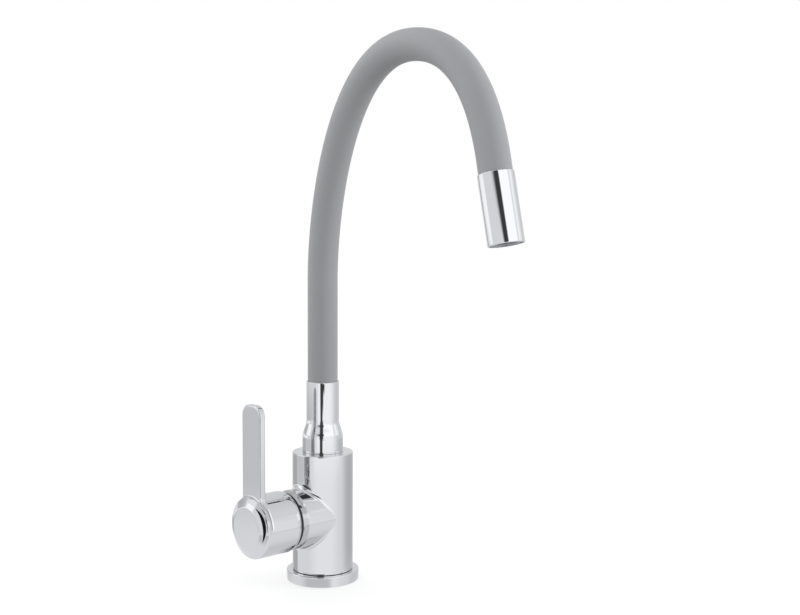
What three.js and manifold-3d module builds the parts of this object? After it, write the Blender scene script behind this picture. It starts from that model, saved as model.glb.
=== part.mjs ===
// Single-lever kitchen mixer tap with a hose spout that arches forward.
// Millimetres, +Z up. The origin is on the tap's upright axis, at the level of the worktop.
// The spout arches towards -Y and the handle points towards -X.
import * as THREE from 'three';
import { mergeVertices } from 'three/addons/utils/BufferGeometryUtils.js';
import Module from 'manifold-3d';

// Fits and fineness
const gap = 0.3; // between pieces that rest on each other
const turningGap = 0.4; // between pieces that turn or slide on each other
const overrun = 2; // how far a cut runs past what it cuts
const weldDistance = 1e-4; // corners nearer than this are one
const bodySides = 36;
const ringSides = 24;
const innerSides = 20;
const smallSides = 10;
const roundSectionSides = 6;
const hexSides = 6;
const arcSteps = 3;

// Base plate and its seal
const plateRadius = 30;
const plateTop = 8.8;
const plateLift = 0.4;
const plateEdge = 0.8;
const plateBoreRadius = 20.4;
const sealInnerRadius = 23;
const sealWidth = 4;
const sealHeight = 2.1;

// Valve body
const bodyRadius = 25;
const wallOverCartridge = 9.6; // between the cartridge bore and the spout bore
const bodyEdge = 0.8;
const footDepth = 5.6;
const handleHeight = 55;
const bossRadius = 24.3;
const bossReach = 38.8;
const bossEdge = 4;
const bossFillet = 3.5;
const filletBite = 0.25; // how far the fillet's edges sink into the two surfaces

// Waterways in the body
const seatReach = 4; // the cartridge seat, from the tap axis
const wayRadius = 2.9;
const uprightRadius = 3.2;
const wayOffset = 5; // the upright waterways, behind the tap axis
const inletPortRadius = 4.6;
const inletPortDepth = 13;
const studHoleRadius = 3.4;
const studHoleOffset = 11;
const studHoleDepth = 12;
const inletSpread = 7.5;
const inletDrop = 4.5;
const mixedRise = 7;

// Ceramic cartridge
const cartridgeRadius = 17.5;
const portSealRadius = 4.3;
const portSealHole = 3;
const portSealThickness = 2;
const cartridgeBaseThickness = 5;
const discThickness = 3.5;
const fixedDiscRadius = 13.2;
const movingDiscRadius = 11.2;
const mixingPocketRadius = 6.5;
const mixingPocketDepth = 2;
const mixingPocketOffset = 1.5;
const carrierThickness = 3;
const carrierHoleRadius = 3.5;
const spindleThickness = 7.4;
const housingWall = 3.4;
const housingLip = 2.4;
const housingNeckRadius = 12.5;
const housingMouthRadius = 9.5;
const shoulderDepth = 1.5;
const pivotDepth = 3.2; // from the spindle carrier's inner face to the tilt pin
const nutRadius = 18.3;
const nutHoleRadius = 13;
const nutThickness = 4.5;
const nutSlotWidth = 3;
const nutSlotDepth = 1.6;
const nutSlots = 4;
const coverHoleRadius = 14;
const coverThickness = 2.2;

// Stem and its pin
const fingerRadius = 2.6;
const fingerLength = 3.6;
const shankRadius = 4.2;
const shankTaper = 1.2;
const shankLength = 9.5;
const squareSide = 7;
const squareLength = 29;
const pinRadius = 1.5;
const pinLength = 21;
const flowTilt = 20; // degrees, from shut to full flow

// Lever handle
const knobRadius = 25.1;
const knobFront = 78;
const knobFrontRound = 7;
const knobRearRound = 5;
const knobRearDrop = 2.2;
const seamGap = 1;
const knobWall = 4.3;
const knobFrontWall = 5;
const hubRadius = 7.5;
const hubSetback = 1.2; // from the knob's rear face in to the hub's
const ribWidth = 8;
const ribLength = 6;
const ribOffset = 5;
const leverWidth = 24.4;
const leverThickness = 5.5;
const leverSetback = 5.5; // from the drum's front face in to the blade's
const leverTop = 98.5; // above the handle axis
const leverCorner = 9;
const leverEdge = 1.2;
const leverFoot = 2.5; // fillet where the blade meets the drum
const screwAngle = 45; // degrees round from straight down

// Screws
const grubRadius = 2;
const grubLength = 8;
const grubHexRadius = 1.15;
const grubHexDepth = 2.5;
const plugLength = 3;
const lockRadius = 2;
const lockLength = 9;
const lockTipRadius = 1.25;
const lockTipLength = 3.4;

// Spout socket and its spigot
const socketRadius = 16.8;
const socketStraight = 11.5;
const socketShoulder = 15.5;
const neckRadius = 13.5;
const socketTop = 166;
const socketEdge = 0.5;
const spigotRadius = 12;
const spigotLength = 23;
const waterRadius = 5;
const spoutBoreClearance = 0.3;
const spoutBoreSpare = 2; // below the spigot's end
const hoseSeatDepth = 25.7;
const ferruleSeatDepth = 12;
const oRingRadius = 1;
const oRingGrooveDepth = 2.15;
const oRingGrooveWidth = 2.6;
const lowerORingHeight = 6.6; // heights above the spigot's end
const upperORingHeight = 10.2;
const lowerBearingHeight = 2.6;
const upperBearingHeight = 20;
const bearingWidth = 2.6;
const bearingThickness = 1.2;
const lockGrooveHeight = 15;
const lockGrooveWidth = 3.4;
const lockGrooveDepth = 2;

// Hose spout
const hoseRadius = 12.3;
const hoseWall = 3;
const coreWall = 2.4;
const tubeWall = 1.8;
const riserTop = 250; // height where the hose leaves the upright
const archReach = 104; // from the tap axis to the top of the arch
const archHeight = 430.4;
const outletReach = 193;
const outletHeight = 334.2;
const outletTilt = 12.6; // degrees outward from straight down
const riserPull = 62.5; // handle lengths of the two Bezier curves
const crownRearPull = 77.4;
const crownFrontPull = 73;
const outletPull = 17.7;
const hoseSides = 18;
const coreSides = 10;
const tubeSides = 8;
const hoseSteps = 28;

// Ferrules, the same at both ends
const ferruleBarbLength = 9;
const ferruleBoreRadius = 2.6;

// Outlet sleeve and aerator
const sleeveRadius = 13.3;
const sleeveLength = 51;
const sleeveEdge = 0.5;
const hoseInsertion = 16;
const outletFerruleDepth = 12;
const aeratorBoreRadius = 11.8;
const aeratorBoreDepth = 16;
const aeratorRecess = 0.8;
const aeratorSealThickness = 2;
const aeratorSealHole = 8;
const aeratorWall = 1.8;
const aeratorLipWidth = 1.4;
const aeratorLipDepth = 1.2;
const screenThickness = 0.8;
const screenHole = 1.7;
const screenHolesOut = 2; // holes from the middle of the screen to its edge
const insertThickness = 4;
const insertHoleRadius = 0.9;
const insertHoles = 8;
const insertRingShare = 0.62;

// Colours and finishes
const chrome = { color: 0xd4d6da, roughness: 0.06, metalness: 1 };
const brass = { color: 0xc9a25a, roughness: 0.35, metalness: 1 };
const steel = { color: 0xa6a8ab, roughness: 0.35, metalness: 1 };
const silicone = { color: 0x96979c, roughness: 0.6, metalness: 0 };
const rubber = { color: 0x26272a, roughness: 0.8, metalness: 0 };
const whitePlastic = { color: 0xe6e4dd, roughness: 0.45, metalness: 0 };
const bluePlastic = { color: 0x4a6f9c, roughness: 0.45, metalness: 0 };
const greyPlastic = { color: 0x8c8e93, roughness: 0.5, metalness: 0 };
const ceramic = { color: 0xf1efe8, roughness: 0.2, metalness: 0 };

// Solids: three.js shapes joined and cut
const wasm = await Module();
wasm.setup();

function toSolid(geometry) {
  const bare = geometry.index ? geometry.toNonIndexed() : geometry.clone();
  bare.deleteAttribute('normal');
  bare.deleteAttribute('uv');
  const merged = mergeVertices(bare, weldDistance);
  const corners = merged.index.array;
  const kept = [];
  for (let i = 0; i < corners.length; i += 3) {
    const [a, b, c] = [corners[i], corners[i + 1], corners[i + 2]];
    if (a !== b && b !== c && c !== a) kept.push(a, b, c);
  }
  return new wasm.Manifold(new wasm.Mesh({
    numProp: 3,
    vertProperties: merged.attributes.position.array,
    triVerts: new Uint32Array(kept),
  }));
}

function toGeometry(solid) {
  const mesh = solid.getMesh();
  const geometry = new THREE.BufferGeometry();
  const stride = mesh.numProp;
  const places = new Float32Array((mesh.vertProperties.length / stride) * 3);
  for (let i = 0; i < places.length / 3; i += 1) {
    for (let k = 0; k < 3; k += 1) places[i * 3 + k] = mesh.vertProperties[i * stride + k];
  }
  geometry.setAttribute('position', new THREE.BufferAttribute(places, 3));
  geometry.setIndex(new THREE.BufferAttribute(new Uint32Array(mesh.triVerts), 1));
  return geometry;
}

// Joins the first list of shapes and cuts the second list out of them.
function carve(joined, removed) {
  let solid = toSolid(joined[0]);
  for (const shape of joined.slice(1)) solid = solid.add(toSolid(shape));
  for (const shape of removed) solid = solid.subtract(toSolid(shape));
  return toGeometry(solid);
}

// A turned shape about Z. The outline is a list of [radius, height] pairs, anticlockwise.
function turned(outline, sides) {
  const points = outline.map(([radius, height]) => new THREE.Vector2(radius, height));
  const closed = outline[0][0] > 0 || outline[outline.length - 1][0] > 0;
  if (closed) points.push(points[0].clone());
  return new THREE.LatheGeometry(points, sides).rotateX(Math.PI / 2);
}

// A round bar along Z between two heights.
function bar(radius, low, high, sides) {
  return turned([[0, low], [radius, low], [radius, high], [0, high]], sides);
}

// A plain ring about Z.
function ring(inner, outer, low, high, sides) {
  return turned([[inner, low], [outer, low], [outer, high], [inner, high]], sides);
}

// A ring with a round section.
function roundRing(middle, thick, height, sides) {
  const outline = [];
  for (let i = 0; i < roundSectionSides; i += 1) {
    const turn = (i / roundSectionSides) * 2 * Math.PI;
    outline.push([middle + thick * Math.cos(turn), height + thick * Math.sin(turn)]);
  }
  return turned(outline, sides);
}

function block(width, depth, low, high) {
  return new THREE.BoxGeometry(width, depth, high - low).translate(0, 0, (low + high) / 2);
}

// Points on a round edge, from one angle to another in degrees.
function arc(radius, height, across, along, from, to) {
  const points = [];
  for (let i = 0; i <= arcSteps; i += 1) {
    const turn = THREE.MathUtils.degToRad(from + ((to - from) * i) / arcSteps);
    points.push([radius + across * Math.cos(turn), height + along * Math.sin(turn)]);
  }
  return points;
}

function meshOf(name, geometry, finish) {
  const mesh = new THREE.Mesh(geometry, new THREE.MeshStandardMaterial(finish));
  mesh.name = name;
  return mesh;
}

// The handle axis: here local Z runs outward along -X, and local X runs up.
function handleFrame() {
  const frame = new THREE.Group();
  frame.position.set(0, 0, handleHeight);
  frame.rotation.y = -Math.PI / 2;
  frame.updateMatrix();
  return frame;
}

function alongHandle(geometry) {
  return geometry.applyMatrix4(handleFrame().matrix);
}

// Places that several pieces share
const footBottom = plateTop + gap - footDepth;
const spoutBoreRadius = spigotRadius + spoutBoreClearance;
const cartridgeBoreRadius = cartridgeRadius + gap;
const spoutBoreFloor = handleHeight + cartridgeBoreRadius + wallOverCartridge;
const spigotEnd = spoutBoreFloor + spoutBoreSpare;
const bodyTop = spigotEnd + spigotLength;
const nutBoreRadius = nutRadius + gap;
const baseStart = seatReach + gap * 2;
const fixedDiscStart = baseStart + cartridgeBaseThickness + gap;
const movingDiscStart = fixedDiscStart + discThickness + gap;
const carrierStart = movingDiscStart + discThickness + gap;
const spindleStart = carrierStart + carrierThickness + gap;
const spindleEnd = spindleStart + spindleThickness;
const housingFront = spindleEnd + turningGap + housingLip;
const nutStart = housingFront - shoulderDepth + gap;
const coverStart = nutStart + nutThickness + gap;
const pivotReach = spindleStart + pivotDepth;
const housingInnerRadius = cartridgeRadius - housingWall;
const sweepRadius = Math.hypot(bossRadius, bossReach - bossEdge - pivotReach);
const bossEndRadius = Math.sqrt(sweepRadius ** 2 - (bossReach - pivotReach) ** 2);
const knobRear = bossReach + seamGap;
const knobSweepRadius = sweepRadius + turningGap;
const rimInnerRadius = Math.sqrt(knobSweepRadius ** 2 - (knobRear - pivotReach) ** 2);
const pocketRadius = knobRadius - knobWall;
const pocketMouth = pivotReach + Math.sqrt(knobSweepRadius ** 2 - pocketRadius ** 2);
const stemStart = carrierStart + gap;
const shankStart = stemStart + fingerLength;
const squareStart = shankStart + shankLength;
const squareEnd = squareStart + squareLength;
const coreRadius = hoseRadius - hoseWall - gap;
const tubeRadius = coreRadius - coreWall - gap;
const screwReach = knobRear + ribOffset + ribLength / 2;
const aeratorSealStart = aeratorBoreDepth - gap - aeratorSealThickness;
const aeratorTop = aeratorSealStart - gap;
const aeratorOuterRadius = aeratorBoreRadius - gap;
const aeratorInnerRadius = aeratorOuterRadius - aeratorWall;
const screenStart = aeratorRecess + aeratorLipDepth + gap;
const portPlaces = {
  hot: [-inletDrop, inletSpread],
  cold: [-inletDrop, -inletSpread],
  mixed: [mixedRise, 0],
};

// Base plate and seal
function basePlate() {
  const grooveTop = sealHeight + gap;
  const outline = [
    [plateBoreRadius, plateLift],
    [sealInnerRadius - gap, plateLift],
    [sealInnerRadius - gap, grooveTop],
    [sealInnerRadius + sealWidth + gap, grooveTop],
    [sealInnerRadius + sealWidth + gap, plateLift],
    [plateRadius, plateLift],
    ...arc(plateRadius - plateEdge, plateTop - plateEdge, plateEdge, plateEdge, 0, 90),
    [plateBoreRadius, plateTop],
  ];
  return turned(outline, bodySides);
}

function baseSeal() {
  return ring(sealInnerRadius, sealInnerRadius + sealWidth, 0, sealHeight, bodySides);
}

// Valve body: a cylinder with a foot, a side boss, and the bores for cartridge, spout and water
function bossShape() {
  const outline = [
    [0, 0],
    [bossRadius, 0],
    [bossRadius, bossReach - bossEdge],
  ];
  const middle = pivotReach;
  for (let i = 1; i <= arcSteps; i += 1) {
    const reach = bossReach - bossEdge + (bossEdge * i) / arcSteps;
    outline.push([Math.sqrt(sweepRadius ** 2 - (reach - middle) ** 2), reach]);
  }
  outline.push([0, bossReach]);
  return alongHandle(turned(outline, bodySides));
}

// The rounded inner corner between boss and cylinder, as a ball of the fillet's radius rolls round it.
function filletShape() {
  const places = [];
  const faces = [];
  const core = new THREE.Vector3();
  const perLoop = arcSteps + 2;
  for (let i = 0; i < bodySides; i += 1) {
    const turn = (i / bodySides) * 2 * Math.PI;
    const up = (bossRadius + bossFillet) * Math.cos(turn);
    const side = (bossRadius + bossFillet) * Math.sin(turn);
    const out = Math.sqrt((bodyRadius + bossFillet) ** 2 - side ** 2);
    const ball = new THREE.Vector3(-out, side, handleHeight + up);
    const toBoss = new THREE.Vector3(0, -side, -up).normalize();
    const toBody = new THREE.Vector3(out, -side, 0).normalize();
    const spread = toBoss.angleTo(toBody);
    for (let k = 0; k <= arcSteps; k += 1) {
      const share = k / arcSteps;
      const ray = toBoss.clone().multiplyScalar(Math.sin((1 - share) * spread));
      ray.addScaledVector(toBody, Math.sin(share * spread)).divideScalar(Math.sin(spread));
      const edge = k === 0 || k === arcSteps;
      places.push(ball.clone().addScaledVector(ray, edge ? bossFillet + filletBite : bossFillet));
    }
    const inner = (bossRadius - bossFillet) * Math.sin(turn);
    const depth = Math.sqrt((bodyRadius - bossFillet) ** 2 - inner ** 2);
    core.set(-depth, inner, handleHeight + (bossRadius - bossFillet) * Math.cos(turn));
    places.push(core.clone());
  }
  for (let i = 0; i < bodySides; i += 1) {
    const next = (i + 1) % bodySides;
    for (let k = 0; k < perLoop; k += 1) {
      const after = (k + 1) % perLoop;
      const [a, b] = [i * perLoop + k, i * perLoop + after];
      const [c, d] = [next * perLoop + k, next * perLoop + after];
      faces.push(a, b, c, b, d, c);
    }
  }
  const geometry = new THREE.BufferGeometry().setFromPoints(places);
  geometry.setIndex(faces);
  return geometry;
}

function bodyCylinder() {
  const footRadius = plateBoreRadius - gap;
  return turned([
    [0, footBottom],
    [footRadius, footBottom],
    [footRadius, plateTop + gap],
    [bodyRadius, plateTop + gap],
    ...arc(bodyRadius - bodyEdge, bodyTop - bodyEdge, bodyEdge, bodyEdge, 0, 90),
    [0, bodyTop],
  ], bodySides);
}

function waterways() {
  const cuts = [];
  for (const [rise, spread] of Object.values(portPlaces)) {
    const cross = bar(wayRadius, -wayOffset, seatReach + overrun, smallSides);
    cuts.push(alongHandle(cross.translate(rise, spread, 0)));
    const inlet = spread !== 0;
    const level = handleHeight + rise;
    const low = inlet ? footBottom + inletPortDepth - overrun : level - uprightRadius;
    const high = inlet ? level + uprightRadius : spoutBoreFloor + overrun;
    const upright = bar(uprightRadius, low, high, smallSides);
    cuts.push(upright.translate(wayOffset, spread, 0));
    if (inlet) {
      const port = bar(inletPortRadius, footBottom - overrun, footBottom + inletPortDepth, innerSides);
      cuts.push(port.translate(wayOffset, spread, 0));
    }
  }
  return cuts;
}

function valveBody() {
  const studHole = bar(studHoleRadius, footBottom - overrun, footBottom + studHoleDepth, smallSides);
  const lockHeight = spigotEnd + lockGrooveHeight;
  const lockHole = bar(lockRadius + gap, 0, bodyRadius + overrun, smallSides).rotateX(-Math.PI / 2);
  const cuts = [
    alongHandle(bar(cartridgeBoreRadius, seatReach, bossReach, ringSides)),
    alongHandle(bar(nutBoreRadius, nutStart - gap, bossReach + overrun, ringSides)),
    bar(spoutBoreRadius, spoutBoreFloor, bodyTop + overrun, ringSides),
    studHole.translate(-studHoleOffset, 0, 0),
    lockHole.translate(0, 0, lockHeight),
    ...waterways(),
  ];
  return carve([bodyCylinder(), bossShape(), filletShape()], cuts);
}

function lockScrew() {
  const tipStart = spigotRadius - lockGrooveDepth + gap;
  const shankFrom = tipStart + lockTipLength;
  const end = shankFrom + lockLength;
  const screw = turned([
    [0, tipStart],
    [lockTipRadius, tipStart],
    [lockTipRadius, shankFrom],
    [lockRadius, shankFrom],
    [lockRadius, end],
    [0, end],
  ], smallSides);
  const socket = bar(grubHexRadius, end - grubHexDepth, end + overrun, hexSides);
  const geometry = carve([screw], [socket]);
  return geometry.rotateX(-Math.PI / 2).translate(0, 0, spigotEnd + lockGrooveHeight);
}

// Cartridge pieces, each about the handle axis
function portSeal() {
  const start = seatReach + gap;
  return ring(portSealHole, portSealRadius, start, start + portSealThickness, innerSides);
}

function cartridgeBase() {
  const end = baseStart + cartridgeBaseThickness;
  const cuts = [];
  for (const [rise, spread] of Object.values(portPlaces)) {
    const recessEnd = seatReach + gap + portSealThickness + gap;
    const recess = bar(portSealRadius + gap, baseStart - overrun, recessEnd, innerSides);
    const way = bar(wayRadius, baseStart, end + overrun, smallSides);
    cuts.push(recess.translate(rise, spread, 0), way.translate(rise, spread, 0));
  }
  return carve([bar(cartridgeRadius, baseStart, end, ringSides)], cuts);
}

function fixedDisc() {
  const end = fixedDiscStart + discThickness;
  const cuts = [];
  for (const [rise, spread] of Object.values(portPlaces)) {
    const way = bar(wayRadius, fixedDiscStart - overrun, end + overrun, smallSides);
    cuts.push(way.translate(rise, spread, 0));
  }
  return carve([bar(fixedDiscRadius, fixedDiscStart, end, innerSides)], cuts);
}

function movingDisc() {
  const disc = bar(movingDiscRadius, movingDiscStart, movingDiscStart + discThickness, innerSides);
  const pocketTop = movingDiscStart + mixingPocketDepth;
  const pocket = bar(mixingPocketRadius, movingDiscStart - overrun, pocketTop, innerSides);
  return carve([disc], [pocket.translate(mixingPocketOffset, 0, 0)]);
}

function discCarrier() {
  const end = carrierStart + carrierThickness;
  return ring(carrierHoleRadius, movingDiscRadius, carrierStart, end, innerSides);
}

// The slot lets the stem tilt, and the pin hole holds its pivot.
function spindleCarrier() {
  const radius = housingInnerRadius - turningGap;
  const tilt = THREE.MathUtils.degToRad(flowTilt);
  const reach = Math.max(pivotDepth, spindleThickness - pivotDepth);
  const slotHalf = shankRadius / Math.cos(tilt) + reach * Math.tan(tilt) + turningGap;
  const slotWidth = (shankRadius + turningGap) * 2;
  const slot = block(slotHalf * 2, slotWidth, spindleStart - overrun, spindleEnd + overrun);
  const pinHole = bar(pinRadius + gap, -radius - overrun, radius + overrun, smallSides);
  const cuts = [slot, pinHole.rotateX(Math.PI / 2).translate(0, 0, pivotReach)];
  return carve([bar(radius, spindleStart, spindleEnd, innerSides)], cuts);
}

function cartridgeHousing() {
  const start = fixedDiscStart;
  const lipBack = spindleEnd + turningGap;
  const shoulder = housingFront - shoulderDepth;
  return turned([
    [housingInnerRadius, start],
    [cartridgeRadius, start],
    [cartridgeRadius, shoulder],
    [housingNeckRadius, shoulder],
    [housingNeckRadius, housingFront],
    [housingMouthRadius, housingFront],
    [housingMouthRadius, lipBack],
    [housingInnerRadius, lipBack],
  ], ringSides);
}

function cartridgeNut() {
  const end = nutStart + nutThickness;
  const cuts = [];
  for (let i = 0; i < nutSlots / 2; i += 1) {
    const slot = block(nutRadius * 2 + overrun, nutSlotWidth, end - nutSlotDepth, end + overrun);
    cuts.push(slot.rotateZ((i / nutSlots) * 2 * Math.PI));
  }
  return carve([ring(nutHoleRadius, nutRadius, nutStart, end, ringSides)], cuts);
}

function coverRing() {
  return ring(coverHoleRadius, nutRadius, coverStart, coverStart + coverThickness, ringSides);
}

// Stem: a finger that pushes the disc carrier, a round shank on the pin, and a square end
function stem() {
  const square = block(squareSide, squareSide, squareStart - gap, squareEnd);
  const shaft = turned([
    [0, stemStart],
    [fingerRadius, stemStart],
    [fingerRadius, shankStart],
    [shankRadius, shankStart + shankTaper],
    [shankRadius, squareStart],
    [0, squareStart],
  ], smallSides);
  const pinHole = bar(pinRadius + gap, -shankRadius - overrun, shankRadius + overrun, smallSides);
  const cut = pinHole.rotateX(Math.PI / 2).translate(0, 0, pivotReach);
  const turn = THREE.MathUtils.degToRad(screwAngle);
  return carve([shaft, square.rotateZ(turn)], [cut]);
}

function stemPin() {
  const pin = bar(pinRadius, -pinLength / 2, pinLength / 2, smallSides);
  return pin.rotateX(Math.PI / 2).translate(0, 0, pivotReach);
}

// Lever handle: a hollow drum with a hub on the stem, and a flat blade that stands on the drum
function drumShape() {
  const rimOuterRadius = knobRadius - knobRearDrop;
  const rearMiddle = knobRear + knobRearRound;
  const frontMiddle = knobFront - knobFrontRound;
  const rear = arc(rimOuterRadius, rearMiddle, knobRearDrop, knobRearRound, -90, 0);
  const round = knobFrontRound;
  const front = arc(knobRadius - round, frontMiddle, round, round, 0, 90);
  return turned([[0, knobRear], ...rear, ...front, [0, knobFront]], bodySides);
}

function bladeShape() {
  const half = leverWidth / 2;
  const footHalf = half + leverFoot;
  const footRise = Math.sqrt(knobRadius ** 2 - footHalf ** 2);
  const bladeRise = Math.sqrt(knobRadius ** 2 - half ** 2);
  const sunk = pocketRadius * Math.cos(Math.asin(footHalf / pocketRadius));
  const outline = new THREE.Shape();
  outline.moveTo(sunk, -footHalf);
  outline.lineTo(footRise, -footHalf);
  outline.quadraticCurveTo(bladeRise, -half, bladeRise + leverFoot, -half);
  outline.lineTo(leverTop - leverCorner, -half);
  outline.absarc(leverTop - leverCorner, -half + leverCorner, leverCorner, -Math.PI / 2, 0);
  outline.absarc(leverTop - leverCorner, half - leverCorner, leverCorner, 0, Math.PI / 2);
  outline.lineTo(bladeRise + leverFoot, half);
  outline.quadraticCurveTo(bladeRise, half, footRise, footHalf);
  outline.lineTo(sunk, footHalf);
  const blade = new THREE.ExtrudeGeometry(outline, {
    depth: leverThickness - leverEdge * 2,
    bevelThickness: leverEdge,
    bevelSize: leverEdge,
    bevelOffset: -leverEdge,
    bevelSegments: 2,
    curveSegments: arcSteps,
  });
  return blade.translate(0, 0, knobFront - leverSetback - leverThickness + leverEdge);
}

function pocketShape() {
  const floor = knobFront - knobFrontWall;
  return turned([
    [hubRadius, knobRear - overrun],
    [rimInnerRadius, knobRear - overrun],
    [rimInnerRadius, knobRear],
    [pocketRadius, pocketMouth],
    [pocketRadius, floor],
    [hubRadius, floor],
  ], ringSides);
}

// Turns a shape that points along local X to the side where the grub screw sits.
function towardsScrew(geometry) {
  const turn = THREE.MathUtils.degToRad(180 + screwAngle);
  return geometry.rotateY(Math.PI / 2).rotateZ(turn).translate(0, 0, screwReach);
}

function screwRib() {
  return towardsScrew(block(ribLength, ribWidth, squareSide / 2, pocketRadius + gap));
}

function leverHandle() {
  const hubTrim = bar(hubRadius + gap, knobRear - overrun, knobRear + hubSetback, innerSides);
  const holeSide = squareSide + gap * 2;
  const squareHole = block(holeSide, holeSide, knobRear - overrun, squareEnd + gap);
  const turn = THREE.MathUtils.degToRad(screwAngle);
  const screwHole = towardsScrew(bar(grubRadius + gap, 0, knobRadius + overrun, smallSides));
  const shell = carve([drumShape(), bladeShape()], [pocketShape()]);
  return carve([shell, screwRib()], [hubTrim, squareHole.rotateZ(turn), screwHole]);
}

function grubScrew() {
  const start = squareSide / 2 + gap;
  const screw = bar(grubRadius, start, start + grubLength, smallSides);
  const end = start + grubLength;
  const socket = bar(grubHexRadius, end - grubHexDepth, end + overrun, hexSides);
  return towardsScrew(carve([screw], [socket]));
}

function screwPlug() {
  const end = knobRadius - gap / 2;
  return towardsScrew(bar(grubRadius, end - plugLength, end, smallSides));
}

// Spout socket: a shouldered sleeve for the hose, with a grooved spigot below
function groove(height, width, depth) {
  const middle = spigotEnd + height;
  const floor = spigotRadius - depth;
  return ring(floor, spigotRadius + overrun, middle - width / 2, middle + width / 2, ringSides);
}

function spoutSocket() {
  const bottom = bodyTop + gap;
  const straightTop = bottom + socketStraight;
  const shoulder = [];
  const steps = arcSteps * 2;
  for (let i = 0; i <= steps; i += 1) {
    const share = i / steps;
    const ease = (1 - Math.cos(share * Math.PI)) / 2;
    shoulder.push([socketRadius + (neckRadius - socketRadius) * ease, straightTop + socketShoulder * share]);
  }
  const hoseSeat = socketTop - hoseSeatDepth;
  const ferruleSeat = hoseSeat - ferruleSeatDepth;
  const seatRadius = hoseRadius + gap;
  const ferruleRadius = hoseRadius - hoseWall + gap;
  const outline = [
    [waterRadius, spigotEnd],
    [spigotRadius, spigotEnd],
    [spigotRadius, bottom],
    [socketRadius, bottom],
    ...shoulder,
    ...arc(neckRadius - socketEdge, socketTop - socketEdge, socketEdge, socketEdge, 0, 90),
    [seatRadius, socketTop],
    [seatRadius, hoseSeat],
    [ferruleRadius, hoseSeat],
    [ferruleRadius, ferruleSeat],
    [waterRadius, ferruleSeat],
  ];
  return carve([turned(outline, ringSides)], [
    groove(lowerORingHeight, oRingGrooveWidth, oRingGrooveDepth),
    groove(upperORingHeight, oRingGrooveWidth, oRingGrooveDepth),
    groove(lowerBearingHeight, bearingWidth + gap * 2, bearingThickness + gap),
    groove(upperBearingHeight, bearingWidth + gap * 2, bearingThickness + gap),
    groove(lockGrooveHeight, lockGrooveWidth, lockGrooveDepth),
  ]);
}

function spigotORing(height) {
  const middle = spigotRadius - oRingGrooveDepth + gap / 2 + oRingRadius;
  return roundRing(middle, oRingRadius, spigotEnd + height, innerSides);
}

function bearingRing(height) {
  const low = spigotEnd + height - bearingWidth / 2;
  const inner = spigotRadius - bearingThickness;
  return ring(inner, spigotRadius, low, low + bearingWidth, ringSides);
}

function roundPoints(radius, sides) {
  const points = [];
  for (let i = 0; i < sides; i += 1) {
    const turn = (i / sides) * 2 * Math.PI;
    points.push(new THREE.Vector2(radius * Math.cos(turn), radius * Math.sin(turn)));
  }
  return points;
}

// The hose's middle line: upright, over the arch, and straight into the outlet sleeve
function outletDirection() {
  const tilt = THREE.MathUtils.degToRad(outletTilt);
  return new THREE.Vector3(0, -Math.sin(tilt), -Math.cos(tilt));
}

function hoseLine() {
  const start = new THREE.Vector3(0, 0, socketTop - hoseSeatDepth + gap);
  const bend = new THREE.Vector3(0, 0, riserTop);
  const crown = new THREE.Vector3(0, -archReach, archHeight);
  const outlet = new THREE.Vector3(0, -outletReach, outletHeight);
  const down = outletDirection();
  const end = outlet.clone().addScaledVector(down, hoseInsertion);
  const line = new THREE.CurvePath();
  line.add(new THREE.LineCurve3(start, bend));
  const bendPull = bend.clone().add(new THREE.Vector3(0, 0, riserPull));
  const rearPull = crown.clone().add(new THREE.Vector3(0, crownRearPull, 0));
  line.add(new THREE.CubicBezierCurve3(bend, bendPull, rearPull, crown));
  const frontPull = crown.clone().add(new THREE.Vector3(0, -crownFrontPull, 0));
  const endPull = outlet.clone().addScaledVector(down, -outletPull);
  line.add(new THREE.CubicBezierCurve3(crown, frontPull, endPull, outlet));
  line.add(new THREE.LineCurve3(outlet, end));
  return line;
}

// A tube along the hose line. Its bore has the same sides as the tube that lies in it.
function hoseTube(outer, outerSides, bore, boreSides) {
  const section = new THREE.Shape(roundPoints(outer, outerSides));
  section.holes.push(new THREE.Path(roundPoints(bore, boreSides)));
  const options = { steps: hoseSteps, extrudePath: hoseLine(), bevelEnabled: false };
  return toGeometry(toSolid(new THREE.ExtrudeGeometry(section, options)));
}

// Ferrules: a plug in its seat that carries the hose, and a barb in the water tube
function ferrule(seatDepth) {
  const plugRadius = hoseRadius - hoseWall;
  const barbRadius = (tubeRadius - tubeWall) * Math.cos(Math.PI / tubeSides) - gap;
  const shelf = seatDepth - gap;
  return turned([
    [ferruleBoreRadius, 0],
    [plugRadius, 0],
    [plugRadius, shelf],
    [barbRadius, shelf],
    [barbRadius, shelf + ferruleBarbLength],
    [ferruleBoreRadius, shelf + ferruleBarbLength],
  ], innerSides);
}

// Outlet pieces, in a frame where local Z runs back up the hose and 0 is the sleeve's lower end
function outletFrame() {
  const frame = new THREE.Group();
  const mouth = new THREE.Vector3(0, -outletReach, outletHeight);
  mouth.addScaledVector(outletDirection(), sleeveLength);
  frame.position.copy(mouth);
  frame.rotation.x = -THREE.MathUtils.degToRad(outletTilt);
  return frame;
}

function outletSleeve() {
  const seatRadius = hoseRadius + gap;
  const hoseSeat = sleeveLength - hoseInsertion - gap;
  const ferruleRadius = hoseRadius - hoseWall + gap;
  const ferruleSeat = hoseSeat - outletFerruleDepth;
  return turned([
    [aeratorBoreRadius, 0],
    [sleeveRadius - sleeveEdge, 0],
    [sleeveRadius, sleeveEdge],
    [sleeveRadius, sleeveLength - sleeveEdge],
    [sleeveRadius - sleeveEdge, sleeveLength],
    [seatRadius, sleeveLength],
    [seatRadius, hoseSeat],
    [ferruleRadius, hoseSeat],
    [ferruleRadius, ferruleSeat],
    [waterRadius, ferruleSeat],
    [waterRadius, aeratorBoreDepth],
    [aeratorBoreRadius, aeratorBoreDepth],
  ], ringSides);
}

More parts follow.
